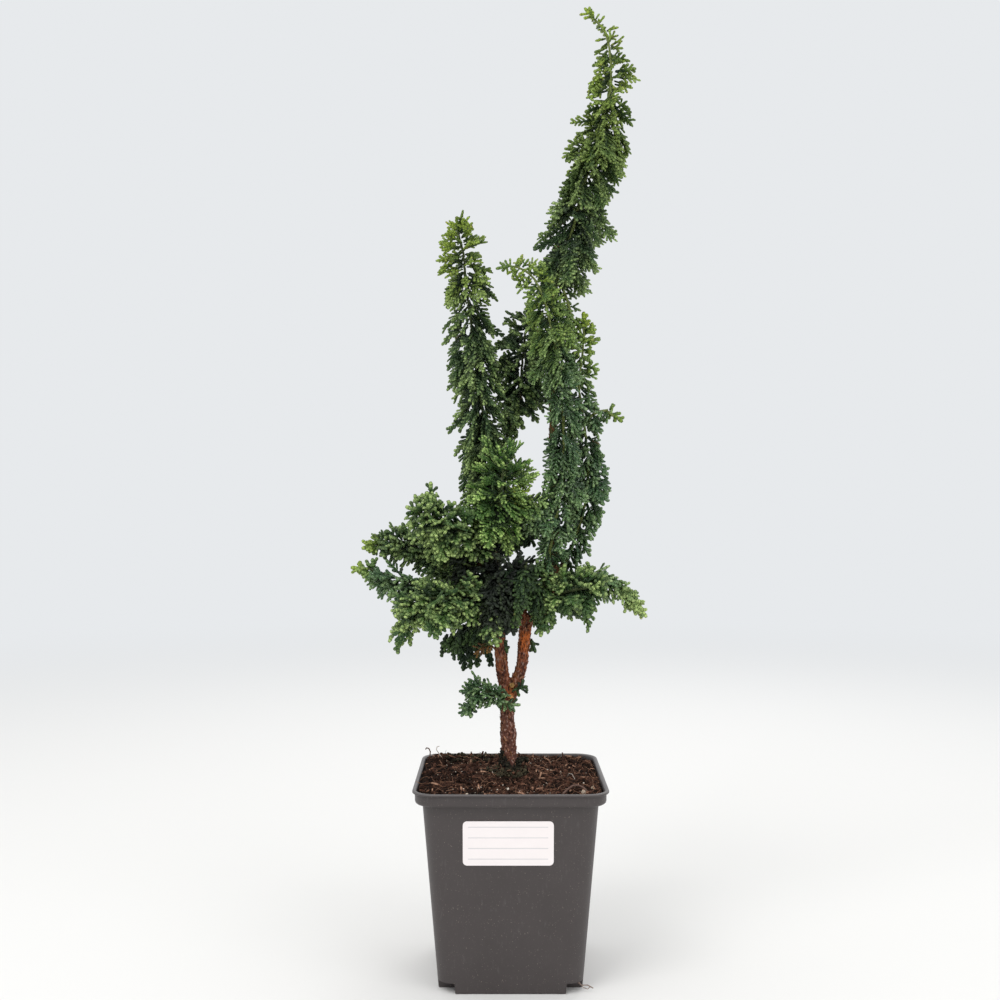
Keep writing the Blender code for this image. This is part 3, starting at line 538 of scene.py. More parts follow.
# %% Soil surface
SOIL_GRID = 86
start_fresh()
bpy.ops.mesh.primitive_grid_add(x_subdivisions=SOIL_GRID, y_subdivisions=SOIL_GRID,
                                size=2 * SOIL_LEVELS[0][0] * MM, location=(0, 0, SOIL_LEVELS[0][1] * MM))
bpy.ops.object.mode_set(mode="EDIT")
pull_levels(SOIL_LEVELS)
pick_faces(lambda face: face.center.z < (SOIL_LEVELS[0][1] + 0.1) * MM)
bpy.ops.mesh.dissolve_faces()
face_outwards()
soil = settle("soil_surface")
level_halves, level_heights = zip(*SOIL_LEVELS)
for vertex in soil.data.vertices:
    z = vertex.co.z / MM
    x, y = inside_rim(vertex.co.x / MM, vertex.co.y / MM, float(np.interp(z, level_heights, level_halves)))
    if z > level_heights[-1] - 0.1:
        z = max(z, soil_height(x, y) + 0.9 * noise.noise(Vector((x / 1.7, y / 1.7, 1))))
    vertex.co = Vector((x, y, z)) * MM
smooth(soil, 180)
dress(soil, soil_finish, "soil_peat", "soil")


# %% Crumb, chip and fibre shapes
def lumpy_ball(seed, stretch):
    """A ball of twenty faces pushed out of round."""
    start_fresh()
    bpy.ops.mesh.primitive_ico_sphere_add(subdivisions=1, radius=1 * MM)
    bpy.context.object.scale = stretch
    points, faces = shape_of(settle("crumb"))
    for i, p in enumerate(points):
        points[i] = p * (1 + 0.45 * noise.noise(Vector(p) * 1.7 + Vector((seed, 0, 0))))
    return points, faces


def splinter():
    """A bark chip: a slab with a narrowed end and a chamfered top."""
    start_fresh()
    bpy.ops.mesh.primitive_cube_add(size=2 * MM)
    bpy.context.object.scale = (1.0, 0.42, 0.16)
    settle("chip")
    bpy.ops.object.mode_set(mode="EDIT")
    pick_faces(lambda face: face.normal.x > 0.9)
    bpy.ops.transform.resize(value=(1, 0.45, 0.6), center_override=(1 * MM, 0, 0))
    pick_faces(lambda face: face.normal.z > 0.9)
    bpy.ops.mesh.inset(thickness=0.14 * MM)
    bpy.ops.transform.translate(value=(0, 0, 0.1 * MM))
    start_fresh()
    return shape_of(bpy.context.object)


def bent_thread(points, radius, sides):
    """A thin tube through points in millimetres, drawn as a curve and made a mesh."""
    curve = bpy.data.curves.new("thread", "CURVE")
    curve.dimensions = "3D"
    curve.bevel_depth = 1 * MM
    curve.bevel_resolution = max(0, sides // 2 - 2)
    curve.use_fill_caps = True
    line = curve.splines.new("POLY")
    line.points.add(len(points) - 1)
    radii = radius if isinstance(radius, (list, tuple)) else [radius] * len(points)
    for spot, p, r in zip(line.points, points, radii):
        spot.co = (*(Vector(p) * MM), 1)
        spot.radius = r
    thread = bpy.data.objects.new("thread", curve)
    bpy.context.scene.collection.objects.link(thread)
    take(thread)
    bpy.ops.object.convert(target="MESH")
    return shape_of(bpy.context.object)


crumb_shapes = [lumpy_ball(3, (1, 0.8, 0.7)), lumpy_ball(7, (0.8, 1, 0.6)), lumpy_ball(11, (1, 1, 0.9))]
chip_shapes = [splinter()]
fibre_shapes = [
    bent_thread([(-4, 0, 0), (-2, 0.7, 0.3), (0, 0.5, 0.6), (2, -0.6, 0.3), (4, -0.4, 0)], 0.22, 4),
    bent_thread([(-4, 0, 0), (-1.5, -1, 0.8), (1, -0.4, 1.0), (3, 1.2, 0.4), (4, 2.6, 0)], 0.2, 4)]
for title, shapes in (("crumb", crumb_shapes), ("chip", chip_shapes), ("fibre", fibre_shapes)):
    print(title, "faces:", len(shapes[0][1]))


# %% Loose bits on the soil
def strew(name, shapes, count, sizes, seed, sink, flat, kept=None, laid=()):
    """Bits of random size and turn on the soil inside the rim: first those listed as (x, y, size),
    then others wherever the place passes the test."""
    chance = Random(seed)
    places, shade = [], []
    while len(places) < count:
        x, y = chance.uniform(-51, 51), chance.uniform(-51, 51)
        size = chance.uniform(*sizes) * chance.uniform(0.7, 1.15)
        if len(places) < len(laid):
            x, y, size = laid[len(places)]
        elif math.hypot(x - TRUNK_FOOT[0], y - TRUNK_FOOT[1]) < 6.5 or (kept and not kept(x, y)):
            continue
        x, y = inside_rim(x, y, SOIL_HALF - 0.9 * size)
        stretch = np.diag([size * chance.uniform(0.8, 1.3), size * chance.uniform(0.7, 1.1), size])
        at = (x, y, soil_height(x, y) + size * sink)
        places.append((chance.randrange(len(shapes)), random_turn(chance, flat) @ stretch, at))
        shade.append(chance.random())
    return scatter(name, shapes, places, shade)


def bits_finish(name, dark, light, roughness=0.9, patch_share=0.0):
    """A matt finish whose colour differs from bit to bit."""
    bits = Finish(name, roughness=roughness, specular=0.1)
    tone = bits.mix(bits.attribute("shade"), dark, light)
    tone = bits.mix(bits.steps(bits.noise(0.9, 4), 0.4, 0.75) * 0.5, tone, tuple(0.45 * c for c in dark))
    if patch_share:
        tone = bits.mix(dark_patches(bits) * patch_share, tone, tuple(0.5 * c for c in dark))
    return bits.set(Base_Color=tone, Normal=bits.bump(bits.noise(0.5, 4), 0.25, 0.7))


crumbs = strew("soil_crumbs", crumb_shapes, 1400, (0.4, 1.6), 5, 0.2, 1.0)
dress(crumbs, bits_finish("crumb_brown", (0.010, 0.005, 0.004), (0.15, 0.068, 0.043), patch_share=0.75), "soil_peat")
chips = strew("bark_chips", chip_shapes, 150, (0.6, 1.9), 9, 0.4, 0.6, laid=[
    (-43.3, -31, 2.4), (-41, -29, 1.7), (23.6, 43, 2.3), (16.7, -35, 1.8), (-14.5, -45, 1.9), (9.7, 10, 2.0)])
dress(chips, bits_finish("chip_tan", (0.15, 0.06, 0.035), (0.56, 0.33, 0.22), patch_share=0.2), "soil_peat")
fibres = strew("peat_fibres", fibre_shapes, 950, (0.25, 0.85), 12, 0.7, 0.8)
dress(fibres, bits_finish("fibre_red", (0.040, 0.014, 0.009), (0.46, 0.25, 0.16), patch_share=0.5), "soil_peat")
grit = strew("grit", crumb_shapes, 210, (0.22, 0.6), 14, 0.7, 1.0, laid=[
    (40.8, -45, 2.0), (46.7, -31, 1.4), (-24.6, -46, 1.1), (24.6, 8.7, 1.0), (-1.5, -39, 1.1),
    (5.2, -41, 0.9)])
dress(grit, bits_finish("grit_pale", (0.30, 0.22, 0.15), (0.80, 0.70, 0.60), 0.7), "soil_peat")


# %% Moss and rootlets
def mossy(x, y):
    """Moss grows round the trunk's foot, and in a patch behind it on the left."""
    at_foot = math.hypot(x + 2, y + 2) + 4 * noise.noise(Vector((x / 5, y / 5, 3))) < 12
    behind = -40 < x < -4 and y > 34 and noise.noise(Vector((x / 6, y / 6, 8))) > -0.05
    return at_foot or behind


moss = strew("moss_tufts", crumb_shapes, 420, (0.35, 1.3), 16, 0.7, 1.0, mossy)
dress(moss, bits_finish("moss_dark", (0.011, 0.010, 0.007), (0.082, 0.068, 0.040)), "soil_peat")

ROOTLETS = [
    ([(-50, 41, 112), (-50.3, 41, 116), (-50, 41, 119.6), (-50.9, 41, 121.6), (-52.3, 41, 122),
      (-53, 41, 121)], 0.42, 0.1),
    ([(-42, 42, 112), (-43, 42, 116), (-44.8, 42, 118.6), (-46.2, 42, 120.6), (-45.8, 42, 122.4),
      (-44.4, 42, 122.9)], 0.26, 0.95),
    ([(33, -36, 7.6), (37, -38, 6.4), (40, -39.4, 4.6), (43.4, -40, 4.9), (46.4, -40.6, 3.4)], 0.3, 0.3),
    ([(35, -35, 7.6), (38.6, -36, 5.2), (41, -37.6, 2.6), (43.6, -38, 1.8), (45, -37, 3.0)], 0.26, 0.5),
    ([(29, -45, 113.6), (32, -42, 115.6), (35, -39, 116.9), (38, -38, 117), (41, -39, 115.8),
      (43.4, -41, 113.6)], 0.6, 0.12),
    ([(34, 0, 113), (35, -3, 115.6), (36.6, -7, 116.2), (38, -11, 114)], 0.22, 0.8),
    ([(-23, 43, 114), (-23.6, 44, 117), (-24.4, 44, 118.9)], 0.5, 0.05),
    ([(-17, 43, 114), (-17.4, 44, 117.4), (-16.6, 44, 119.2)], 0.6, 0.0),
    ([(33.6, 44, 113), (33.9, 44, 116), (33.5, 44, 118.4)], 0.5, 0.05),
]
threads = [bent_thread(points, radius, 6) for points, radius, _ in ROOTLETS]
in_place = [(number, np.identity(3), (0, 0, 0)) for number in range(len(threads))]
rootlets = scatter("rootlets", threads, in_place, [tone for _, _, tone in ROOTLETS])
dress(rootlets, bits_finish("rootlet", (0.09, 0.032, 0.02), (0.66, 0.58, 0.50)), "soil_peat")

# %% [markdown]
# ## Trunk, limbs and twigs
# The wood is drawn as curves whose thickness changes along them, the way one would sketch a tree. The
# curves are made a mesh and remeshed in small voxels, which melts the forks together as grown wood is.
# Points are then moved in and out along ridges that run with the stem, for the peeling bark.

# %% Wood routes
TRUNK = [(0, 5, 100, 6.2), (0, 5, 112, 6.3), (-0.4, 5, 119, 5.5), (-0.8, 5, 127, 4.7), (-0.8, 5, 134, 4.6),
         (-0.9, 5, 138, 5.1), (-1.2, 5, 142, 4.3), (-1.7, 5, 150, 4.3), (-1.2, 5, 160, 4.7)]
LEFT_LIMB = [(-1.2, 5, 159, 4.4), (-3.2, 5, 169, 4.0), (-4.8, 5, 177, 3.8), (-5.6, 5, 188, 3.7),
             (-6.6, 5, 198, 3.7), (-8.2, 5, 210, 3.6), (-9.6, 5, 226, 3.5), (-10.8, 5, 248, 3.4)]
RIGHT_LIMB = [(-0.8, 5, 158, 4.2), (1.6, 5, 165, 3.8), (5.0, 5, 172, 3.4), (7.2, 5, 180, 3.3),
              (8.2, 5, 190, 3.4), (9.4, 5, 203, 3.6)]
LEFT_ARM = [(9.4, 5, 202, 3.2), (7.6, 5, 210, 2.6), (6.6, 4, 219, 2.4), (6.4, 2, 228, 2.0)]
RIGHT_ARM = [(9.4, 5, 202, 3.3), (13.6, 5, 210, 2.9), (18.6, 5, 217, 2.8), (23.5, 6, 227, 2.7),
             (27, 9, 242, 2.6)]
PRUNED_STUB = [(-0.6, 3, 160, 2.2), (0.9, -0.8, 161.5, 1.9)]
FORK_KNOB = [(1.0, 3.6, 165.5, 2.0), (1.3, 0.8, 167.8, 1.7)]
LIMBS = (TRUNK, LEFT_LIMB, RIGHT_LIMB, LEFT_ARM, RIGHT_ARM, PRUNED_STUB, FORK_KNOB)
print("wood routes:", len(LIMBS))

# %% [markdown]
# Each leafy shoot is one or more lines of x, y, z and the reach of its sprays there, in millimetres, from the
# limb to the tip. They are the lines of the solids, with small changes where the finer sprays need them. The
# other words say how the shoot grows:
#
# - slot is the record's finish, and finish the leaf colour where that is another one;
# - bare is the length of its brown foot, and twig the radius at both ends of it;
# - lift is the rise of the sprays at the foot and at the tip, in degrees;
# - flat, roll and sweep are how far the sprays lie level, turn on themselves and point ahead;
# - room is the space for each spray, so less room is a denser shoot, and side_room is that of side lines;
# - young is the share of the length where young leaves start, and crowd how much denser they stand;
# - spread, plume and fine are how wide a spray opens, and how long and how thick its fingers are;
# - stem is how light the green stem is, and under how much painted shade darkens the sprays that point down;
# - laid are sprays given one by one, each from its foot to its tip.

# %% Shoots
SHOOTS = {
    "crown_front": dict(slot="bright_green", finish="fresh_green", bare=9.5, twig=(2.6, 2.6), lift=(-24, 44),
        roll=0.9, sweep=0.2, room=80, spread=0.62, fine=0.74, axes=[
            [(-11, 5, 254, 8), (-9, -3, 261, 13), (-7, -11, 269, 18), (-5.5, -16, 279, 20),
             (-4.6, -19, 290, 17.5), (-5, -20, 300, 10.5)]]),
    "pad_upper_left": dict(slot="bright_green", bare=8, twig=(2.4, 2.2), lift=(-24, -8), flat=0.3, roll=0.7,
        sweep=0.6, room=75, axes=[
            [(-10.2, 5, 240, 5), (-18, -8, 252, 11), (-29.5, -18, 260.5, 15), (-41, -24, 265, 14),
             (-49, -26, 269, 12), (-55, -26, 272, 6)],
            [(-43, -22, 267, 4), (-45.5, -19, 276, 5), (-45.8, -18, 283, 2.5)]]),
    "branch_left_upper": dict(slot="mid_green", bare=12, twig=(2.3, 2.0), lift=(-12, 6), flat=0.15, roll=0.8,
        sweep=0.7, room=56, young=0.84, axes=[
            [(-10, 5, 234, 6), (-30, 3, 243.5, 12), (-46.5, 1, 248.5, 13), (-61, 0, 252.5, 11.5),
             (-74.5, 0, 252.5, 8), (-83, 0, 251, 3.5)]]),
    "branch_left_lower": dict(slot="blue_green", bare=12, twig=(2.2, 1.9), lift=(-40, 0), flat=0.3, roll=0.7,
        sweep=0.6, room=70, young=0.8, axes=[
            [(-9.3, 5, 220, 6), (-25, 2, 223, 10), (-41.5, -1, 226, 12), (-58, -4, 229, 12),
             (-71, -6, 233, 10.5), (-81.5, -6, 236.5, 7), (-88.5, -6, 238, 3)]]),
    "pad_lower_left": dict(slot="bright_green", bare=9, twig=(2.4, 2.1), lift=(-31, -22), flat=0.3, roll=0.7,
        sweep=0.5, room=75, laid=[
            ((-61, -30, 208), (-70.5, -30, 198.3)), ((-61, -30, 207), (-66.1, -30, 190.6)),
            ((-61.5, -30, 207), (-61.5, -29, 194.4)), ((-60, -29, 209), (-56.4, -28, 194.6))], axes=[
            [(-8.2, 5, 212, 4), (-19.5, -10, 218, 9), (-35, -22, 221.5, 15.5), (-48, -28, 221, 15),
             (-58, -30, 217.5, 10), (-62, -30, 215, 5)],
            [(-56, -29, 217, 3), (-61, -30, 208, 4)],
            [(-12, -8, 214, 4), (-12.6, -16, 214, 7), (-11.4, -21, 207, 6), (-9.6, -22, 198, 3)],
            [(-33, -20, 222, 4), (-28, -20, 228, 8), (-22, -19, 230, 7), (-18, -18, 228, 3)]]),
    "branch_right": dict(slot="bright_green", finish="pale_green", bare=9, twig=(2.3, 2.0), lift=(-34, -22),
        flat=0.3, roll=0.7, sweep=0.7, room=84, young=0.42, axes=[
            [(21.5, 6, 222, 6), (39, 4, 231.5, 11), (52, 3, 234, 10.5), (61, 3, 229.5, 7),
             (68.5, 3, 224.5, 7), (74.5, 3, 218.5, 5.5), (78.4, 3, 212.5, 2.5)]]),
    "column_left": dict(slot="mid_green", bare=32, twig=(3.4, 2.6), lift=(-50, 44), young=0.68, room=138,
        crowd=2.0, fine=0.78, spread=(0.66, 0.88), plume=(0.66, 0.88), laid=[
            ((-30, 3, 383), (-40.6, 3, 371)), ((-28, 3, 368), (-38, 3, 357)), ((-27, 3, 354), (-38, 3, 345)),
            ((-20, 2, 408), (-7, 2, 398)), ((-18, 2, 388), (-8, 2, 377)), ((-22, 3, 332), (-38, 3, 319)),
            ((-22, 3, 318), (-35, 3, 306)), ((-4, 1, 336), (6, 0, 322))], axes=[
        [(-10.8, 5, 248, 9), (-11.6, 4, 270, 11), (-12, 3, 286, 14), (-13, 3, 304, 19),
         (-15, 3, 322, 21), (-18.4, 3, 347, 19.5), (-21.6, 3, 371, 18.5), (-24, 3, 390, 17),
         (-26.6, 3, 411, 16.5), (-27.4, 2, 424, 16), (-29.8, 1, 433, 12.5), (-31, 0, 439, 8)]]),
    "column_tall": dict(slot="mid_green", bare=136, twig=(2.6, 2.2), lift=(-46, 24), young=0.42, room=240,
        crowd=2.1, fine=0.82, stem=0.8, flat=(0.0, 0.95), plume=(0.86, 0.9), laid=[
            ((36, 7, 440), (16, 5, 427)), ((33, 7, 432), (15.5, 4, 416)), ((36, 7, 436), (52, 5, 415)),
            ((33, 7, 424), (44, 5, 403))], axes=[
        [(27, 9, 242, 8), (27, 13, 262, 8), (26.6, 15, 290, 8), (26.4, 16, 320, 8),
         (26.8, 15, 352, 9), (27.6, 14, 378, 10), (28, 12, 402, 10.5), (30, 10, 419, 14.5),
         (36.4, 9, 436, 20.5), (40.6, 8, 451, 21.5), (44.3, 8, 466, 22), (49.2, 8, 484, 22),
         (54.2, 8, 499, 19.5), (58.6, 8, 513, 17.5), (61, 8, 526, 15.5), (61, 8, 541, 14),
         (59.4, 7, 554, 10), (56, 7, 562, 6), (51.5, 6, 567, 4), (48.5, 6, 569.5, 3)],
        [(29, 11, 412, 4), (33.5, 9, 402, 9), (36.4, 8, 391, 8), (37, 8, 381, 5), (36.4, 8, 374, 2)]]),
    "column_middle": dict(slot="blue_green", bare=17, twig=(2.4, 2.1), lift=(-50, 26), young=0.6, fine=0.76,
        stem=0.85, room=185, crowd=1.5, side_room=56, axes=[
            [(22.5, 6, 225, 6), (22.6, -2, 236, 8), (23.4, -7, 248, 10), (26, -9, 262, 12.5),
             (29.4, -11, 279, 13.5), (31, -12, 296, 14), (31.4, -12, 314, 14), (30.8, -12, 332, 14),
             (29.4, -12, 349, 15), (26.8, -12, 366, 16.5), (23.8, -12, 381, 16.5), (20.2, -12, 395, 15),
             (15.6, -12, 406, 12.5), (9.6, -12, 412, 9.5), (2.6, -12, 415, 7.5), (-3, -12, 415, 3)],
            [(23, -8, 263, 4), (18, -11, 271, 9), (11, -13, 278, 11), (4, -14, 282, 8)]]),
    "column_right": dict(slot="mid_green", finish="blue_green", bare=15, twig=(2.3, 2.0), lift=(-44, 40),
        young=0.66, stem=0.85, room=118, axes=[
        [(24, 6.5, 229, 7), (33, 8, 240, 9.5), (41, 8, 260, 9.5), (45.6, 8, 277, 11.5),
         (47.4, 8, 296, 12.5), (46, 8, 315, 12), (43.6, 8, 333, 12.5), (41.6, 8, 348, 10.5),
         (43.4, 8, 363, 10), (44.6, 8, 377, 8.5), (44, 8, 386, 4)],
        [(44.8, 7, 326, 5), (52, 4, 331, 7), (59, 2, 331.5, 6), (63, 1, 328, 2.5)]]),
    "shoot_inner": dict(slot="deep_green", finish="mid_green", bare=14, twig=(2.3, 2.0), lift=(-30, 30),
        room=62, spread=(0.75, 0.8), plume=(0.8, 0.9), axes=[
        [(-11.2, 5, 262, 6), (-9.5, 14, 277, 8), (-6.8, 20, 297, 8), (-3.4, 22, 312, 7),
         (1.4, 22, 329, 8), (5.2, 22, 344, 14), (7.8, 22, 361, 18.5), (9.4, 22, 378, 17),
         (11, 22, 390, 8)]]),
    "hanging_left": dict(slot="deep_green", bare=7, twig=(2.1, 1.8), lift=(-66, -70), flat=0.2, roll=0.7,
        sweep=0.3, room=84, spread=0.6, laid=[
            ((-38, 16, 197), (-41.4, 16, 182)), ((-33, 16, 197), (-34.5, 16, 180.5)),
            ((-28, 15, 195), (-29, 16, 174)), ((-24, 14, 195), (-24.4, 14, 175.5)),
            ((-20, 13, 194), (-18.4, 13, 176.5)), ((-14, 9, 196), (-12.8, 10, 177)),
            ((-4.6, 3.6, 195), (-0.6, 2, 187.6)), ((-4.6, 3.6, 193), (-1.6, 1.6, 188.4))], axes=[
            [(-7.6, 5, 205, 5), (-15, 12, 203, 9), (-24, 15, 201, 9), (-32, 16, 197, 8), (-37, 16, 192, 4)],
            [(-17, 13, 201.5, 5), (-18.5, 14, 199, 6), (-19, 14.5, 196, 3)],
            [(-11, 9, 203, 4), (-20, 12, 206, 8), (-30, 14, 204, 8)]]),
    "recess_front": dict(slot="deep_green", finish="shaded", bare=7.5, twig=(2.3, 2.1), lift=(-40, -44),
        flat=0.1, roll=0.9, sweep=0.2, room=56, axes=[
            [(-9.2, 5, 222, 7), (-8, -5, 231, 13), (-5, -11, 238, 15), (-1, -13.6, 240, 15),
             (2.4, -14.4, 239.6, 11)],
            [(-7, -9, 235, 6), (-6, -14, 226, 13), (-6.4, -17, 214, 11), (-7.6, -17, 207, 6)],
            [(-8.6, 2, 229, 4), (-15, -3, 234, 10), (-23, -8, 239, 11), (-30, -11, 242, 7)],
            [(-9, -2, 217, 4), (-15, -7, 215, 9), (-21, -10, 216, 8)]]),
    # sprig_centre is a blue-green sprig in the deep_green leaves: painted shade, for the dim place under the
    # fork where it hangs.
    "sprig_centre": dict(slot="blue_green", finish="deep_green", bare=5, twig=(1.9, 1.7), lift=(-44, -50),
        flat=0.1, roll=0.8, sweep=0.4, room=50, fine=0.85, young=0.7, axes=[
            [(6.4, 2, 227, 4), (8, -8, 238, 8), (8.6, -17, 239, 8.5), (6.6, -20, 229, 7),
             (3.8, -20, 216, 4.5), (2.6, -19, 208, 3)],
            [(9, -10, 236, 4), (14, -12, 231, 7), (15.6, -11, 221, 7.5), (17, -10, 211, 5)]]),
    "pad_lower_right": dict(slot="mid_green", finish="bright_green", under=0.9, bare=9, twig=(2.3, 2.1),
        lift=(-22, -10), flat=0.3, roll=0.7, sweep=0.5, room=70, axes=[
            [(17.5, 5, 216, 6), (27, -5, 222, 13), (36, -11, 225, 15.5), (45, -13, 227, 12.5),
             (52, -12, 229.5, 7)],
            [(25.4, -3.6, 220.6, 5), (21.8, -7.4, 214, 8), (20, -9, 207, 6), (19.4, -9, 203, 3)],
            [(24, -2, 221, 4), (20, -8, 230, 9), (17, -10, 238, 6)]]),
    "pad_back_left": dict(slot="mid_green", bare=10, twig=(2.3, 2.1), lift=(-28, -10), flat=0.3, roll=0.7,
        sweep=0.6, room=85, axes=[
            [(-9.5, 5, 227, 6), (-22, 20, 233, 13), (-36, 32, 237, 14.5), (-46, 38, 236, 8)]]),
    "pad_back_centre": dict(slot="deep_green", bare=9, twig=(2.3, 2.1), lift=(-24, 4), flat=0.1, roll=0.8,
        sweep=0.4, room=85, axes=[
            [(-10.6, 5, 244, 6), (-9, 18, 252, 13), (-5, 30, 259, 16), (-1, 38, 267, 9)],
            [(-8, 12, 250, 4), (1, 11, 257, 9), (8, 9, 262, 10), (12, 8, 256, 8)]]),
    "pad_back_right": dict(slot="mid_green", bare=9, twig=(2.2, 2.0), lift=(-30, -12), flat=0.3, roll=0.7,
        sweep=0.6, room=85, axes=[
            [(15, 5, 212, 5), (22, 20, 219, 12), (32, 32, 224, 14), (41, 39, 223, 8)]]),
    "sprig_trunk": dict(slot="mid_green", finish="blue_green", bare=4.2, twig=(1.7, 1.5), lift=(-20, -4),
        flat=0.3, roll=0.8, sweep=0.7, room=45, fine=0.82, axes=[
            [(-2.6, 3, 157, 3), (-7.5, -6, 162, 8), (-13, -9, 165, 9), (-19.5, -10, 166.5, 8),
             (-24.5, -10, 166, 3)],
            [(-17, -9.5, 164, 3), (-22.5, -10, 159, 6), (-25, -10, 155, 3)],
            [(-7, -5.5, 159.6, 3), (-3, -6.6, 157.6, 3.2), (0.6, -6.8, 157.2, 2.6)]]),
    "sprig_fork": dict(slot="deep_green", bare=4.4, twig=(1.3, 1.2), lift=(-8, 4), flat=0.5, roll=0.5,
        sweep=0.7, room=60, fine=0.8, plume=0.7, axes=[
            [(1.6, 4.5, 164, 2), (4.4, -1.2, 165.6, 3), (6.6, -2.8, 166.8, 1.6)]]),
    "sprig_limb": dict(slot="deep_green", bare=5, twig=(1.3, 1.2), lift=(-20, -30), flat=0.5, roll=0.5,
        sweep=0.7, room=60, fine=0.9, plume=0.6, axes=[
            [(9, 5, 195, 2), (12.4, 8, 194.4, 2.4), (13.4, 8.6, 191.6, 1.4)]]),
    "dry_sprig": dict(slot="dry_orange", bare=5.4, twig=(1.3, 1.2), lift=(-20, -18), flat=0.4, roll=0.5,
        sweep=0.7, room=80, fine=0.6, axes=[
            [(-5.9, 5, 191, 2), (-10, 0.4, 193, 4.6), (-14.6, -2, 191.4, 3.8), (-17.4, -2.4, 190, 2)]]),
}
print("shoots:", len(SHOOTS), "lines:", sum(len(shoot["axes"]) for shoot in SHOOTS.values()))


# %% Smooth lines through the points
CURVE_STEPS = 12


def smooth_route(points, spacing):
    """Rows of a smooth curve through rows of numbers, a step of spacing apart along the first three."""
    rows = np.array(points, float)
    padded = np.vstack([2 * rows[0] - rows[1], rows, 2 * rows[-1] - rows[-2]])
    fine_rows = []
    for i in range(len(rows) - 1):
        a, b, c, d = padded[i:i + 4]
        for t in np.linspace(0, 1, CURVE_STEPS, endpoint=False):
            fine_rows.append(0.5 * (2 * b + (c - a) * t + (2 * a - 5 * b + 4 * c - d) * t ** 2
                                    + (3 * b - a - 3 * c + d) * t ** 3))
    fine_rows = np.array(fine_rows + [rows[-1]])
    walked = np.concatenate([[0], np.cumsum(np.linalg.norm(np.diff(fine_rows[:, :3], axis=0), axis=1))])
    wanted = np.linspace(0, walked[-1], max(2, round(walked[-1] / spacing) + 1))
    return np.column_stack([np.interp(wanted, walked, fine_rows[:, k]) for k in range(rows.shape[1])])


# %% Draw the wood as curves
def wood_rows(shoot):
    """The brown foot of a shoot's first line, with its radius."""
    rows = smooth_route(shoot["axes"][0], 1.0)[:max(2, round(shoot["bare"]))]
    rows[:, 3] = np.linspace(*shoot["twig"], len(rows))
    return rows


VOXEL, BARK_ROOM = 0.65, 0.97
wood_lines = [smooth_route(route, 1.5) for route in LIMBS]
twig_lines = [wood_rows(shoot) for shoot in SHOOTS.values()]
tubes = [bent_thread(rows[:, :3], list(rows[:, 3] * BARK_ROOM), 12) for rows in wood_lines + twig_lines]
wood = join_parts("wood", [(points, *flatten(faces), {}) for points, faces in tubes])
apply_modifier(wood, "REMESH", mode="VOXEL", voxel_size=VOXEL * MM)
apply_modifier(wood, "SMOOTH", factor=0.5, iterations=4)
print("wood faces after the remesh:", len(wood.data.polygons))

# %% Peel and plate the bark
normals = [v.normal.copy() for v in wood.data.vertices]
for vertex, normal in zip(wood.data.vertices, normals):
    p = vertex.co / MM
    plates = noise.noise(Vector((p.x * 0.75, p.y * 0.75, p.z * 0.2)))
    flakes = abs(noise.noise(Vector((p.x * 1.1, p.y * 1.1, p.z * 0.6)) + Vector((9, 0, 0))))
    pits = noise.noise(p * 1.1)
    vertex.co += normal * MM * (0.4 * plates + 0.9 * flakes + 0.4 * pits - 0.15)
smooth(wood, 180)

# %% Bark finish
MOSS_FOOT, MOSS_SLOPE, MOSS_MIDDLE = 119.4, 1.5, 1.3
bark = Finish("bark_red", roughness=0.88, specular=0.2)
along = bark.noise(2.2, 5, stretch=(1, 1, 0.4))
flaky = bark.noise(1.2, 4, stretch=(1, 1, 0.6))
patches = bark.noise(9, 4, stretch=(1, 1, 0.5))
old = 1 - bark.steps(bark.height(), 150 * MM, 180 * MM)


def near(middle, radius):
    """1 at a point in millimetres, 0 at the radius from it and beyond."""
    away = bark.node("VectorMath", {"operation": "DISTANCE"},
                     {0: bark.place, 1: tuple(c * MM for c in middle)}, out="Value")
    return 1 - bark.steps(away, 0.3 * radius * MM, radius * MM)


sideways = bark.node("SeparateXYZ", None, {0: bark.place}, out="X")
from_middle = bark.node("Math", {"operation": "ABSOLUTE"}, {0: sideways - MOSS_MIDDLE * MM})
under_moss = MOSS_FOOT * MM + from_middle * MOSS_SLOPE + (flaky - 0.5) * 4 * MM - bark.height()
red = bark.layers(
    (0.055, 0.018, 0.012),
    (bark.steps(along, 0.36, 0.64), (0.31, 0.10, 0.045)),
    (bark.steps(patches, 0.52, 0.7) * 0.6, (0.40, 0.14, 0.045)),
    (old * 0.7, (0.135, 0.058, 0.044)),
    (near((10, 3, 194), 9) * bark.steps(along, 0.3, 0.5), (0.50, 0.13, 0.03)),
    ((1 - bark.steps(flaky, 0.35, 0.48)) * 0.85, (0.026, 0.010, 0.008)),
    (bark.steps(flaky, 0.55, 0.66) * (0.36 + old * 0.42), (0.50, 0.34, 0.28)),
    (bark.steps(bark.height(), 226 * MM, 246 * MM) * 0.85, (0.060, 0.070, 0.022)),
    (near((0.4, -1, 164), 6) * bark.steps(flaky, 0.4, 0.55) * 0.8, (0.48, 0.14, 0.035)),
    (near((-0.1, -2, 160.2), 3.2) * bark.steps(flaky, 0.34, 0.5), (0.80, 0.40, 0.15)),
    (near((1.3, 0, 168), 2.8) * bark.steps(flaky, 0.3, 0.46), (0.40, 0.24, 0.08)),
    (bark.steps(under_moss, -0.6 * MM, 0.6 * MM) * 0.92, (0.015, 0.014, 0.010)))
bark_finish = bark.set(Base_Color=red, Roughness=0.78 + along * 0.2,
                       Normal=bark.bump(along * 0.6 + flaky, 0.6, 0.9))
dress(wood, bark_finish, "bark", "tree")
wood.name = "trunk_and_limbs"

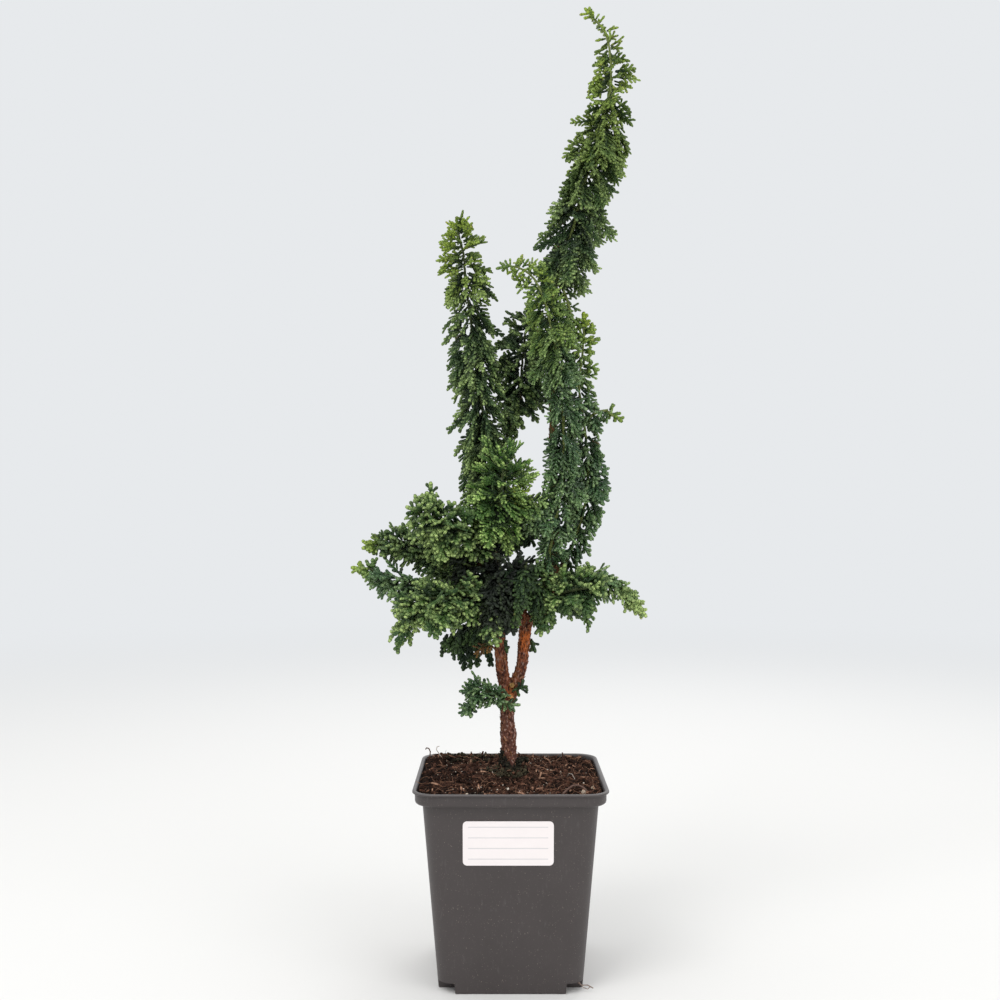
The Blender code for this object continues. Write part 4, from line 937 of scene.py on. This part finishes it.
# %% Moss on the trunk's foot
COLLAR_TUFTS = 190
TRUNK_RADII = [112, 119, 127, 134], [6.3, 5.5, 4.7, 4.6]
chance = Random(31)
collar_places, collar_shade = [], []
while len(collar_places) < COLLAR_TUFTS:
    angle, height = chance.uniform(0, 2 * math.pi), chance.uniform(116.5, 130)
    radius = float(np.interp(height, *TRUNK_RADII)) + chance.uniform(0.0, 0.5)
    x, y = radius * math.cos(angle) - 0.5, TRUNK_FOOT[1] + radius * math.sin(angle)
    if height < MOSS_FOOT + MOSS_SLOPE * abs(x - MOSS_MIDDLE) - 0.4:
        size = chance.uniform(0.4, 1.15)
        collar_places.append((chance.randrange(3), random_turn(chance) * size, (x, y, height)))
        collar_shade.append(chance.random() * 0.5)
for x, y, z in smooth_route([(3.4, 0, 118), (5.6, 1, 120.6), (7.4, 2.4, 122.6), (9, 4.4, 123.2),
                             (10.4, 6, 120.6)], 0.12):
    jitter = Vector([chance.gauss(0, 0.6) for _ in range(3)])
    collar_places.append((chance.randrange(3), random_turn(chance) * chance.uniform(0.5, 1.1),
                          Vector((x, y, z)) + jitter))
    collar_shade.append(chance.random() * 0.5)
collar = scatter("moss_collar", crumb_shapes, collar_places, collar_shade)
dress(collar, bits_finish("moss_black", (0.009, 0.009, 0.007), (0.075, 0.068, 0.045)), "soil_peat")


# %% [markdown]
# Strips of bark that have come loose, and the dry scales of old leaves, stand out of the stems. One curled
# strip and one small thorn are modelled, and each copy is set on a stem's surface by its place along the
# line and its turn round it.


# %% Loose bark and old scales
MOUND_TOP = 118


def bark_strip():
    """A thin strip, pulled out in steps that curl away from the stem."""
    start_fresh()
    bpy.ops.mesh.primitive_cube_add(size=1 * MM)
    bpy.context.object.scale = (1.3, 0.28, 0.8)
    settle("strip")
    bpy.ops.object.mode_set(mode="EDIT")
    pick_faces(lambda face: face.normal.z > 0.9)
    for lift_y, width in ((0.05, 0.96), (0.22, 0.85), (0.5, 0.6)):
        pull(dy=lift_y, dz=0.8)
        bpy.ops.transform.resize(value=(width, 0.85, 1), center_override=(0, 0.3 * lift_y * MM, 0))
    start_fresh()
    return shape_of(bpy.context.object)


def old_scale():
    """A small pointed scale that leans off its stem."""
    start_fresh()
    bpy.ops.mesh.primitive_cone_add(vertices=5, radius1=0.5 * MM, radius2=0.08 * MM, depth=1.7 * MM,
                                    location=(0, 0.1 * MM, 0.6 * MM))
    bpy.context.object.rotation_euler = (math.radians(-24), 0, 0)
    return shape_of(settle("scale"))


def stem_frame(rows, at, angle):
    """A point on a stem's line, the way out of it, and a turn whose Y faces out and Z runs up the stem."""
    ahead = Vector(rows[min(at + 1, len(rows) - 1)][:3]) - Vector(rows[max(at - 1, 0)][:3])
    ahead.normalize()
    side = ahead.orthogonal().normalized()
    out = Matrix.Rotation(angle, 3, ahead) @ side
    turn = Matrix((out.cross(ahead), out, ahead)).transposed()
    return Vector(rows[at][:3]), out, turn


def set_on_stems(name, shapes, lines, spacing, sizes, sunk, seed):
    """Copies set all round some stems above the soil, about spacing millimetres apart along them."""
    chance = Random(seed)
    places, shade = [], []
    for rows in lines:
        length = float(np.linalg.norm(np.diff(rows[:, :3], axis=0), axis=1).sum())
        for _ in range(round(length / spacing)):
            at = chance.randrange(len(rows))
            point, out, turn = stem_frame(rows, at, chance.uniform(0, 2 * math.pi))
            size = chance.uniform(*sizes)
            lean = Matrix.Rotation(chance.uniform(-0.5, 0.5), 3, out)
            if point.z < MOUND_TOP:
                continue
            spot = point + out * (rows[at][3] + sunk)
            places.append((chance.randrange(len(shapes)), np.array(lean @ turn) * size, spot))
            shade.append(chance.random())
    return scatter(name, shapes, places, shade)


barky = wood_lines[:5]
strips = set_on_stems("bark_strips", [bark_strip()], barky, 0.8, (0.35, 0.95), 0.0, 21)
dress(strips, bits_finish("strip_orange", (0.085, 0.030, 0.02), (0.44, 0.22, 0.13)), "bark")
scales = set_on_stems("old_scales", [old_scale()], barky + twig_lines, 0.45, (0.5, 1.35), -0.1, 22)
dress(scales, bits_finish("scale_brown", (0.08, 0.030, 0.018), (0.36, 0.16, 0.07)), "bark")

# %% [markdown]
# ## A leaf finger
# Hinoki foliage is made of blunt, flattened fingers covered in overlapping scales. One finger is modelled:
# a four-cornered section is pulled out, a little wider at the end of each pair of scales and narrower where
# the next pair starts, which gives the notched edge and the ridge down the middle with few faces. A plainer
# length of stem, made the same way, carries the fingers.


# %% Model one finger and one length of stem
def pulled_twig(rings):
    """A flattened four-cornered twig along +Y from (step, width) rings, with its length in millimetres."""
    start_fresh()
    bpy.ops.mesh.primitive_circle_add(vertices=4, radius=1.25 * MM, fill_type="NGON",
                                      rotation=(math.radians(90), 0, 0))
    width_now, reached = 0.7, 0.0
    bpy.context.object.scale = (width_now, 0.44, 1)
    settle("twig")
    bpy.ops.object.mode_set(mode="EDIT")
    bpy.ops.mesh.select_all(action="SELECT")
    for step, width in rings:
        pull(dy=step)
        reached += step
        bpy.ops.transform.resize(value=(width / width_now, 1, width / width_now), center_override=(0, 0, 0))
        width_now = width
    face_outwards()
    start_fresh()
    points, faces = shape_of(bpy.context.object)
    loops, starts = flatten(faces)
    print("twig:", len(faces), "faces,", round(reached, 2), "mm long, width and thickness",
          np.ptp(points[:, ::2], axis=0).round(2))
    return {"points": points, "length": reached, "loops": loops, "starts": starts}


FINGER = pulled_twig([(2.3, 1.0), (0.15, 0.74), (2.7, 1.04), (1.05, 0.55)])
STEM = pulled_twig([(2.8, 0.86), (3.0, 0.66)])


# %% [markdown]
# ## A spray
# A flat spray carries its fingers left and right like a feather, shorter towards the tip, and long fingers
# carry two of their own. Here each one is only noted down: its shape, turn and size, spot and bend, and four
# numbers for its finish to read. They are a lot drawn at random, how far out on the spray it stands, how
# young it is, and a mood that the whole spray shares, which also holds painted shade for sprays that point
# down.


# %% Note down the fingers of a spray
FOOT_ANGLE, CLOSING = 54, 16
SHORTEST, LONGEST = 4.6, 8.6
FORKED_FROM, FORK_ANGLE = 6.4, 44
STEM_STEP = 5.5


def square_to(way, face):
    """The direction nearest to face that is square to way."""
    return (face - way * way.dot(face)).normalized()


class Foliage:
    """Collects the fingers and stems of one shoot, in millimetres."""

    def __init__(self, seed):
        self.chance = Random(seed)
        self.moods = Random(seed + 500)
        self.mood_and_shade, self.shade = 0.5, 0.0
        self.twigs = []

    def twig(self, kind, spot, out, face, length, width, thick, rim, youth):
        """One finger or length of stem from spot along out, its flat side towards face."""
        chance = self.chance
        turn = np.column_stack([out.cross(face) * width, out * (length / kind["length"]), face * thick])
        bend = (chance.uniform(-0.10, 0.10), chance.uniform(-0.02, 0.14))
        self.twigs.append((kind, turn, spot, bend, (chance.random(), rim, youth, self.mood_and_shade)))

    def finger(self, spot, out, face, length, width, rim, youth):
        """One finger, and two smaller ones on its sides where it is long."""
        chance = self.chance
        self.twig(FINGER, spot, out, face, length, width, width * 1.1, rim, youth)
        if length <= FORKED_FROM:
            return
        for side in (-1, 1):
            branch = Matrix.Rotation(side * math.radians(FORK_ANGLE), 3, face) @ out
            self.twig(FINGER, spot + out * length * chance.uniform(0.3, 0.5), branch, face,
                      length * chance.uniform(0.45, 0.58), width * 0.9, width, rim, youth)

    def stem(self, at, face, length, start, fine, youth):
        """The scaly stem of a spray along the curve at; its last piece is a finger."""
        y = start * 0.5
        while y < length - 2:
            last = y > length - 9
            step = length - y if last else STEM_STEP
            ahead = (at(y + step) - at(y)).normalized()
            self.twig(FINGER if last else STEM, at(y), ahead, square_to(ahead, face), step * 1.1,
                      fine, 1.15 * fine, (y + step) / length, youth)
            y += step

    def spray(self, spot, out, across, face, length, start, youth, fine=1.0, spread=1.0, plume=1.0):
        """A flat spray along out: fingers left and right from start on, and the stem between them."""
        chance = self.chance
        # A random mood for the spray, pushed dark by shade: painted shade on sprays that point down.
        self.mood_and_shade = self.moods.random() * (1 - self.shade) + self.shade
        sag = chance.uniform(0.04, 0.18)
        curl = chance.uniform(-0.14, 0.14)

        def at(y):
            share = y / length
            return spot + out * y - face * (sag * share * y) + across * (curl * share * y)

        side = chance.choice((-1, 1))
        y = start
        while y < length - 3.2:
            share = (y - start) / max(length - start, 1)
            own = min(LONGEST, max(SHORTEST, 0.56 * (length - start) * (1 - 0.6 * share)))
            own = own * chance.uniform(0.8, 1.2) * plume
            angle = math.radians((FOOT_ANGLE - CLOSING * share) * spread + chance.uniform(-9, 9))
            way = (out * math.cos(angle) + across * (side * math.sin(angle))
                   + face * chance.uniform(-0.12, 0.40)).normalized()
            flat = Matrix.Rotation(chance.uniform(-0.5, 0.5), 3, way) @ square_to(way, face)
            width = fine * chance.uniform(0.8, 1.06)
            self.finger(at(y), way, flat, own, width, 0.35 + 0.65 * y / length, youth)
            side = -side
            y += fine * chance.uniform(1.35, 1.95)
        self.stem(at, face, length, start, fine, youth)


# %% [markdown]
# The notes become one mesh. Every copy is bent a little its own way: its points move by the square of their
# distance from its foot.


# %% Join the fingers in one mesh
def join_twigs(name, twigs):
    """One mesh of all the fingers and stems, with the numbers that the finish reads."""
    parts = []
    for kind in (FINGER, STEM):
        mine = [twig for twig in twigs if twig[0] is kind]
        if not mine:
            continue
        _, turns, spots, bends, notes = zip(*mine)
        count, size = len(mine), len(kind["points"])
        bends = np.array(bends)
        local = np.repeat(kind["points"][None], count, axis=0)
        squared = (kind["points"][:, 1] ** 2 / kind["length"])[None]
        local[:, :, 0] += bends[:, :1] * squared
        local[:, :, 2] -= bends[:, 1:] * squared
        placed = np.einsum("nij,nkj->nki", np.array(turns), local) + np.array(spots)[:, None]
        order = np.arange(count)[:, None]
        along = kind["points"][:, 1] / kind["length"] * (kind is FINGER)
        numbers = {"tip": np.tile(along, count),
                   **dict(zip(("lot", "rim", "youth", "mood_and_shade"), np.repeat(notes, size, axis=0).T))}
        parts.append((placed.reshape(-1, 3), (kind["loops"] + order * size).ravel(),
                      (kind["starts"] + order * len(kind["loops"])).ravel(), numbers))
    return join_parts(name, parts)


# %% [markdown]
# ## A shoot
# Sprays stand round each line of a shoot, a golden turn apart, hanging low on the shoot and rising at its
# tip, as the solids do, only closer together and finer. Lines get a green stem and a spray at the end.


# %% Numbers along a shoot
def vary(shoot, key, share, usual):
    """A number of the shoot, or where it is a pair, its change from the first third to the tip."""
    value = shoot.get(key, usual)
    return float(np.interp(share, (0.3, 1), value)) if isinstance(value, tuple) else value


def youth_of(shoot, share):
    """How young the leaves are at a share of the shoot's length: 0 up to where it starts, 1 at the tip."""
    start = shoot.get("young", 1.0)
    return max(0.0, (share - start) / (1.001 - start))


# %% Where a spray grows
def spray_frame(rows, at, turn, lift, flat, shoot, chance):
    """Where a spray grows on a stem, and its directions outwards, across and to its face."""
    ahead = Vector(rows[min(at + 1, len(rows) - 1)][:3]) - Vector(rows[max(at - 1, 0)][:3])
    ahead.normalize()
    sky = Vector((0, 0, 1))
    level = ahead.cross(sky)
    level = level.normalized() if level.length > 0.05 else Vector((1, 0, 0))
    upright = level.cross(ahead).normalized()
    spoke = level * math.cos(turn) + upright * math.sin(turn) * (1 - flat)
    spoke.normalize()
    out = spoke * math.cos(lift) + sky * math.sin(lift) + ahead * shoot.get("sweep", 0)
    out.normalize()
    face = sky - out * sky.dot(out)
    face = face.normalized() if face.length > 0.05 else level.cross(out).normalized()
    roll = chance.choice((-1, 1)) * chance.uniform(0.35, 1) * shoot.get("roll", 1.1)
    face = Matrix.Rotation(roll, 3, out) @ face
    return Vector(rows[at][:3]), out, out.cross(face), face


# %% Sprays round one line
GOLDEN_TURN = math.pi * (3 - math.sqrt(5))
STEEPEST_COS = 0.62
SHORTEST_SPRAY = 4.5


def grow_sprays(leaves, shoot, rows, room):
    """Sprays all round one line, closer together where the leaves are young."""
    chance = leaves.chance
    low, high = shoot["lift"]
    youth = np.array([youth_of(shoot, at / len(rows)) for at in range(len(rows))])
    weight = np.cumsum((rows[:, 3] + 6) * (1 + shoot.get("crowd", 0.9) * youth))
    count = max(3, round(2 * math.pi * weight[-1] / room))
    for i in range(count):
        share = (i + 0.5) / count
        at = int(np.searchsorted(weight, share * weight[-1]))
        lift = math.radians(low + (high - low) * share ** 4 + chance.uniform(-20, 20))
        turn = i * GOLDEN_TURN + chance.uniform(-0.4, 0.4)
        flat = vary(shoot, "flat", share, 0)
        spot, out, across, face = spray_frame(rows, at, turn, lift, flat, shoot, chance)
        # Painted shade: on shoots with under, sprays that point down are made darker.
        leaves.shade = shoot.get("under", 0) * min(1, max(0, -1.6 * out.z))
        lump = 1 + 0.3 * noise.noise(spot * 0.11 + out * 1.3)
        reach = rows[at][3] * lump * chance.uniform(0.72, 1.12) / max(STEEPEST_COS, math.cos(lift))
        reach = max(SHORTEST_SPRAY, reach * (1 + 0.25 * shoot.get("sweep", 0)))
        spread, plume = vary(shoot, "spread", share, 1.0), vary(shoot, "plume", share, 1.0)
        leaves.spray(spot, out, across, face, reach, min(6.5, reach * 0.34), youth[at],
                     shoot.get("fine", 1.0), spread, plume)


# %% Stems, tips and sprays given one by one
ROWS_PER_STEM = 5
LAID_SPREAD, LAID_PLUME = 0.6, 0.64


def grow_stem(leaves, shoot, rows):
    """The green stem of one line, in lengths that overlap."""
    for at in range(0, len(rows) - 3, ROWS_PER_STEM):
        spot = Vector(rows[at][:3])
        ahead = Vector(rows[min(at + ROWS_PER_STEM, len(rows) - 1)][:3]) - spot
        length = ahead.length
        ahead.normalize()
        thick = 1.1 - 0.4 * at / len(rows)
        leaves.twig(STEM, spot, ahead, ahead.orthogonal().normalized(), length * 1.25, thick, 2.0 * thick,
                    -1.0, shoot.get("stem", 0.0))


def grow_tip(leaves, shoot, rows):
    """The spray that ends one line."""
    spot = Vector(rows[-4][:3])
    ahead = (Vector(rows[-1][:3]) - spot).normalized()
    across = ahead.cross(Vector((0, 1, 0))).normalized()
    leaves.spray(spot, ahead, across, across.cross(ahead), max(8.0, rows[-1][3] * 1.2), 1.0,
                 youth_of(shoot, 1.0), shoot.get("fine", 1.0))


def lay_spray(leaves, shoot, foot, tip):
    """A spray from foot to tip that faces the front."""
    way = Vector(tip) - Vector(foot)
    length = way.length
    way.normalize()
    face = square_to(way, Vector((leaves.chance.uniform(-0.4, 0.4), -1, 0.3)))
    leaves.spray(Vector(foot), way, way.cross(face), face, length, 1.0, 0.0, shoot.get("fine", 1.0),
                 LAID_SPREAD, LAID_PLUME)


# %% A whole shoot
def grow(name, shoot, seed):
    """All the sprays of one shoot; its first line starts where the brown foot ends."""
    leaves = Foliage(seed)
    room = shoot.get("room", 175)
    for number, axis in enumerate(shoot["axes"]):
        rows = smooth_route(axis, 1.0)
        rows = rows[round(shoot["bare"]):] if number == 0 else rows
        grow_sprays(leaves, shoot, rows, shoot.get("side_room", room) if number else room)
        grow_stem(leaves, shoot, rows)
        grow_tip(leaves, shoot, rows)
    for foot, tip in shoot.get("laid", ()):
        lay_spray(leaves, shoot, foot, tip)
    return join_twigs(name, leaves.twigs)


# %% [markdown]
# ## Leaf finishes
# The finishes share one recipe. A finger is darker deep inside the shoot, which is painted shade, and lighter
# at its tip, partly its own paler tip and partly a painted highlight; it is yellower on young growth. Whole
# sprays are darker or lighter by their mood, and on some shoots sprays that point down are darkened by it as
# painted shade. Each finger differs a little by its lot. Whitish wax lies between the scales, more of it on
# the blue-green shoots. Inside, a few fingers have dried.


# %% Leaf finish
STEM_BROWN, STEM_YOUNG = (0.055, 0.075, 0.022), (0.21, 0.26, 0.07)
BURNT_TIP, WAX_WHITE, DRIED = (0.40, 0.25, 0.05), (0.46, 0.52, 0.42), (0.115, 0.068, 0.034)
SCALE_JOINTS = 25.0


def leaf_finish(name, dark, middle, tip, young, wax, dry=0.008):
    """Scale leaves from painted shade inside to the tip colour, with wax and a share of dry inner fingers."""
    leaf = Finish(name, specular=0.35)
    end, lot, rim, youth, mood_and_shade = (leaf.attribute(key) for key in ("tip", "lot", "rim", "youth", "mood_and_shade"))
    mottle, cells = leaf.noise(9, 3), leaf.noise(0.8, 2)
    joint = leaf.steps(leaf.node("Math", {"operation": "SINE"}, {0: end * SCALE_JOINTS + 1.6}), 0.2, 1.0)
    # Painted shade: fingers near the foot of a spray, deep in the shoot, stay the dark colour; mottle and lot
    # blur the edge.
    out_of_shade = leaf.steps(rim + (mottle - 0.5) * 0.8 + (lot - 0.5) * 0.4, 0.3, 1.05)
    dark_mood_and_shade = tuple(part * share for part, share in zip(middle, (0.42, 0.55, 0.8)))
    green = leaf.layers(
        dark, (out_of_shade, middle),
        # Lighter towards the tip colour on fingers out of the shade: partly their own paler tips, partly a
        # painted highlight.
        (leaf.steps(end, 0.25, 1.0) * out_of_shade * (0.26 + lot * 0.54), tip),
        (youth * leaf.steps(end + lot * 0.5, 0.0, 0.8), young),
        (youth * leaf.steps(end, 0.7, 1.0) * leaf.steps(lot, 0.8, 0.95) * 0.6, BURNT_TIP),
        # Dark moods darken whole sprays: random tone, and painted shade on sprays that point down.
        (leaf.steps(mood_and_shade, 0.5, 1.0) * 0.62, dark_mood_and_shade),
        ((1 - leaf.steps(mood_and_shade, 0.0, 0.45)) * out_of_shade * 0.42, tip),
        (joint * 0.62, dark),
        ((1 - leaf.steps(cells, 0.34, 0.5)) * 0.5, dark),
        (leaf.steps(cells, 0.54, 0.72) * wax * (1 - leaf.steps(youth, 0.0, 0.5)), WAX_WHITE),
        (leaf.steps(lot, 1 - dry, 1.001 - dry) * (1 - leaf.steps(rim, 0.5, 0.7)) * leaf.steps(end, 0.02, 0.1),
         DRIED),
        (1 - leaf.steps(rim, -0.6, -0.4), leaf.mix(youth, STEM_BROWN, STEM_YOUNG)))
    scaly = leaf.bump(cells - joint, 0.25, 0.7)
    return leaf.set(Base_Color=green, Roughness=0.48 + cells * 0.25, Normal=scaly)


# %% [markdown]
# Each leaf finish is one row: its dark colour, which is painted shade deep inside and also darkens the
# scale joints, its middle colour, its tip colour, partly a painted highlight, its young colour, its wax,
# and its share of dry fingers where that isn't the usual one.

# %% Leaf colours
YOUNG_GREEN = (0.32, 0.44, 0.045)
LEAF_COLOURS = {
    "shaded": ((0.003, 0.005, 0.003), (0.010, 0.017, 0.007), (0.055, 0.085, 0.032), (0.05, 0.08, 0.02),
               0.08, 0.02),
    "deep_green": ((0.006, 0.016, 0.006), (0.034, 0.074, 0.020), (0.10, 0.18, 0.042), (0.10, 0.17, 0.04),
                   0.10),
    "mid_green": ((0.007, 0.022, 0.006), (0.065, 0.133, 0.026), (0.45, 0.60, 0.20), YOUNG_GREEN, 0.2),
    "fresh_green": ((0.008, 0.030, 0.004), (0.094, 0.228, 0.020), (0.66, 0.88, 0.27), YOUNG_GREEN, 0.15),
    "bright_green": ((0.010, 0.030, 0.007), (0.094, 0.194, 0.033), (0.60, 0.76, 0.26), YOUNG_GREEN, 0.2),
    "blue_green": ((0.013, 0.038, 0.012), (0.092, 0.198, 0.052), (0.37, 0.52, 0.22), YOUNG_GREEN, 0.52),
    "pale_green": ((0.026, 0.060, 0.018), (0.165, 0.29, 0.08), (0.54, 0.68, 0.30), (0.50, 0.64, 0.20), 0.3),
    "dry_orange": ((0.07, 0.03, 0.008), (0.20, 0.10, 0.02), (0.31, 0.17, 0.035), (0.42, 0.24, 0.06), 0.0),
}
LEAVES = {name: leaf_finish("leaf_" + name.split("_")[0], *row) for name, row in LEAF_COLOURS.items()}
print("leaf finishes:", ", ".join(LEAVES))

# %% Grow every shoot
for number, (name, shoot) in enumerate(SHOOTS.items()):
    sprays = grow(name + "_sprays", shoot, 100 + number)
    dress(sprays, LEAVES[shoot.get("finish", shoot["slot"])], shoot["slot"], name)
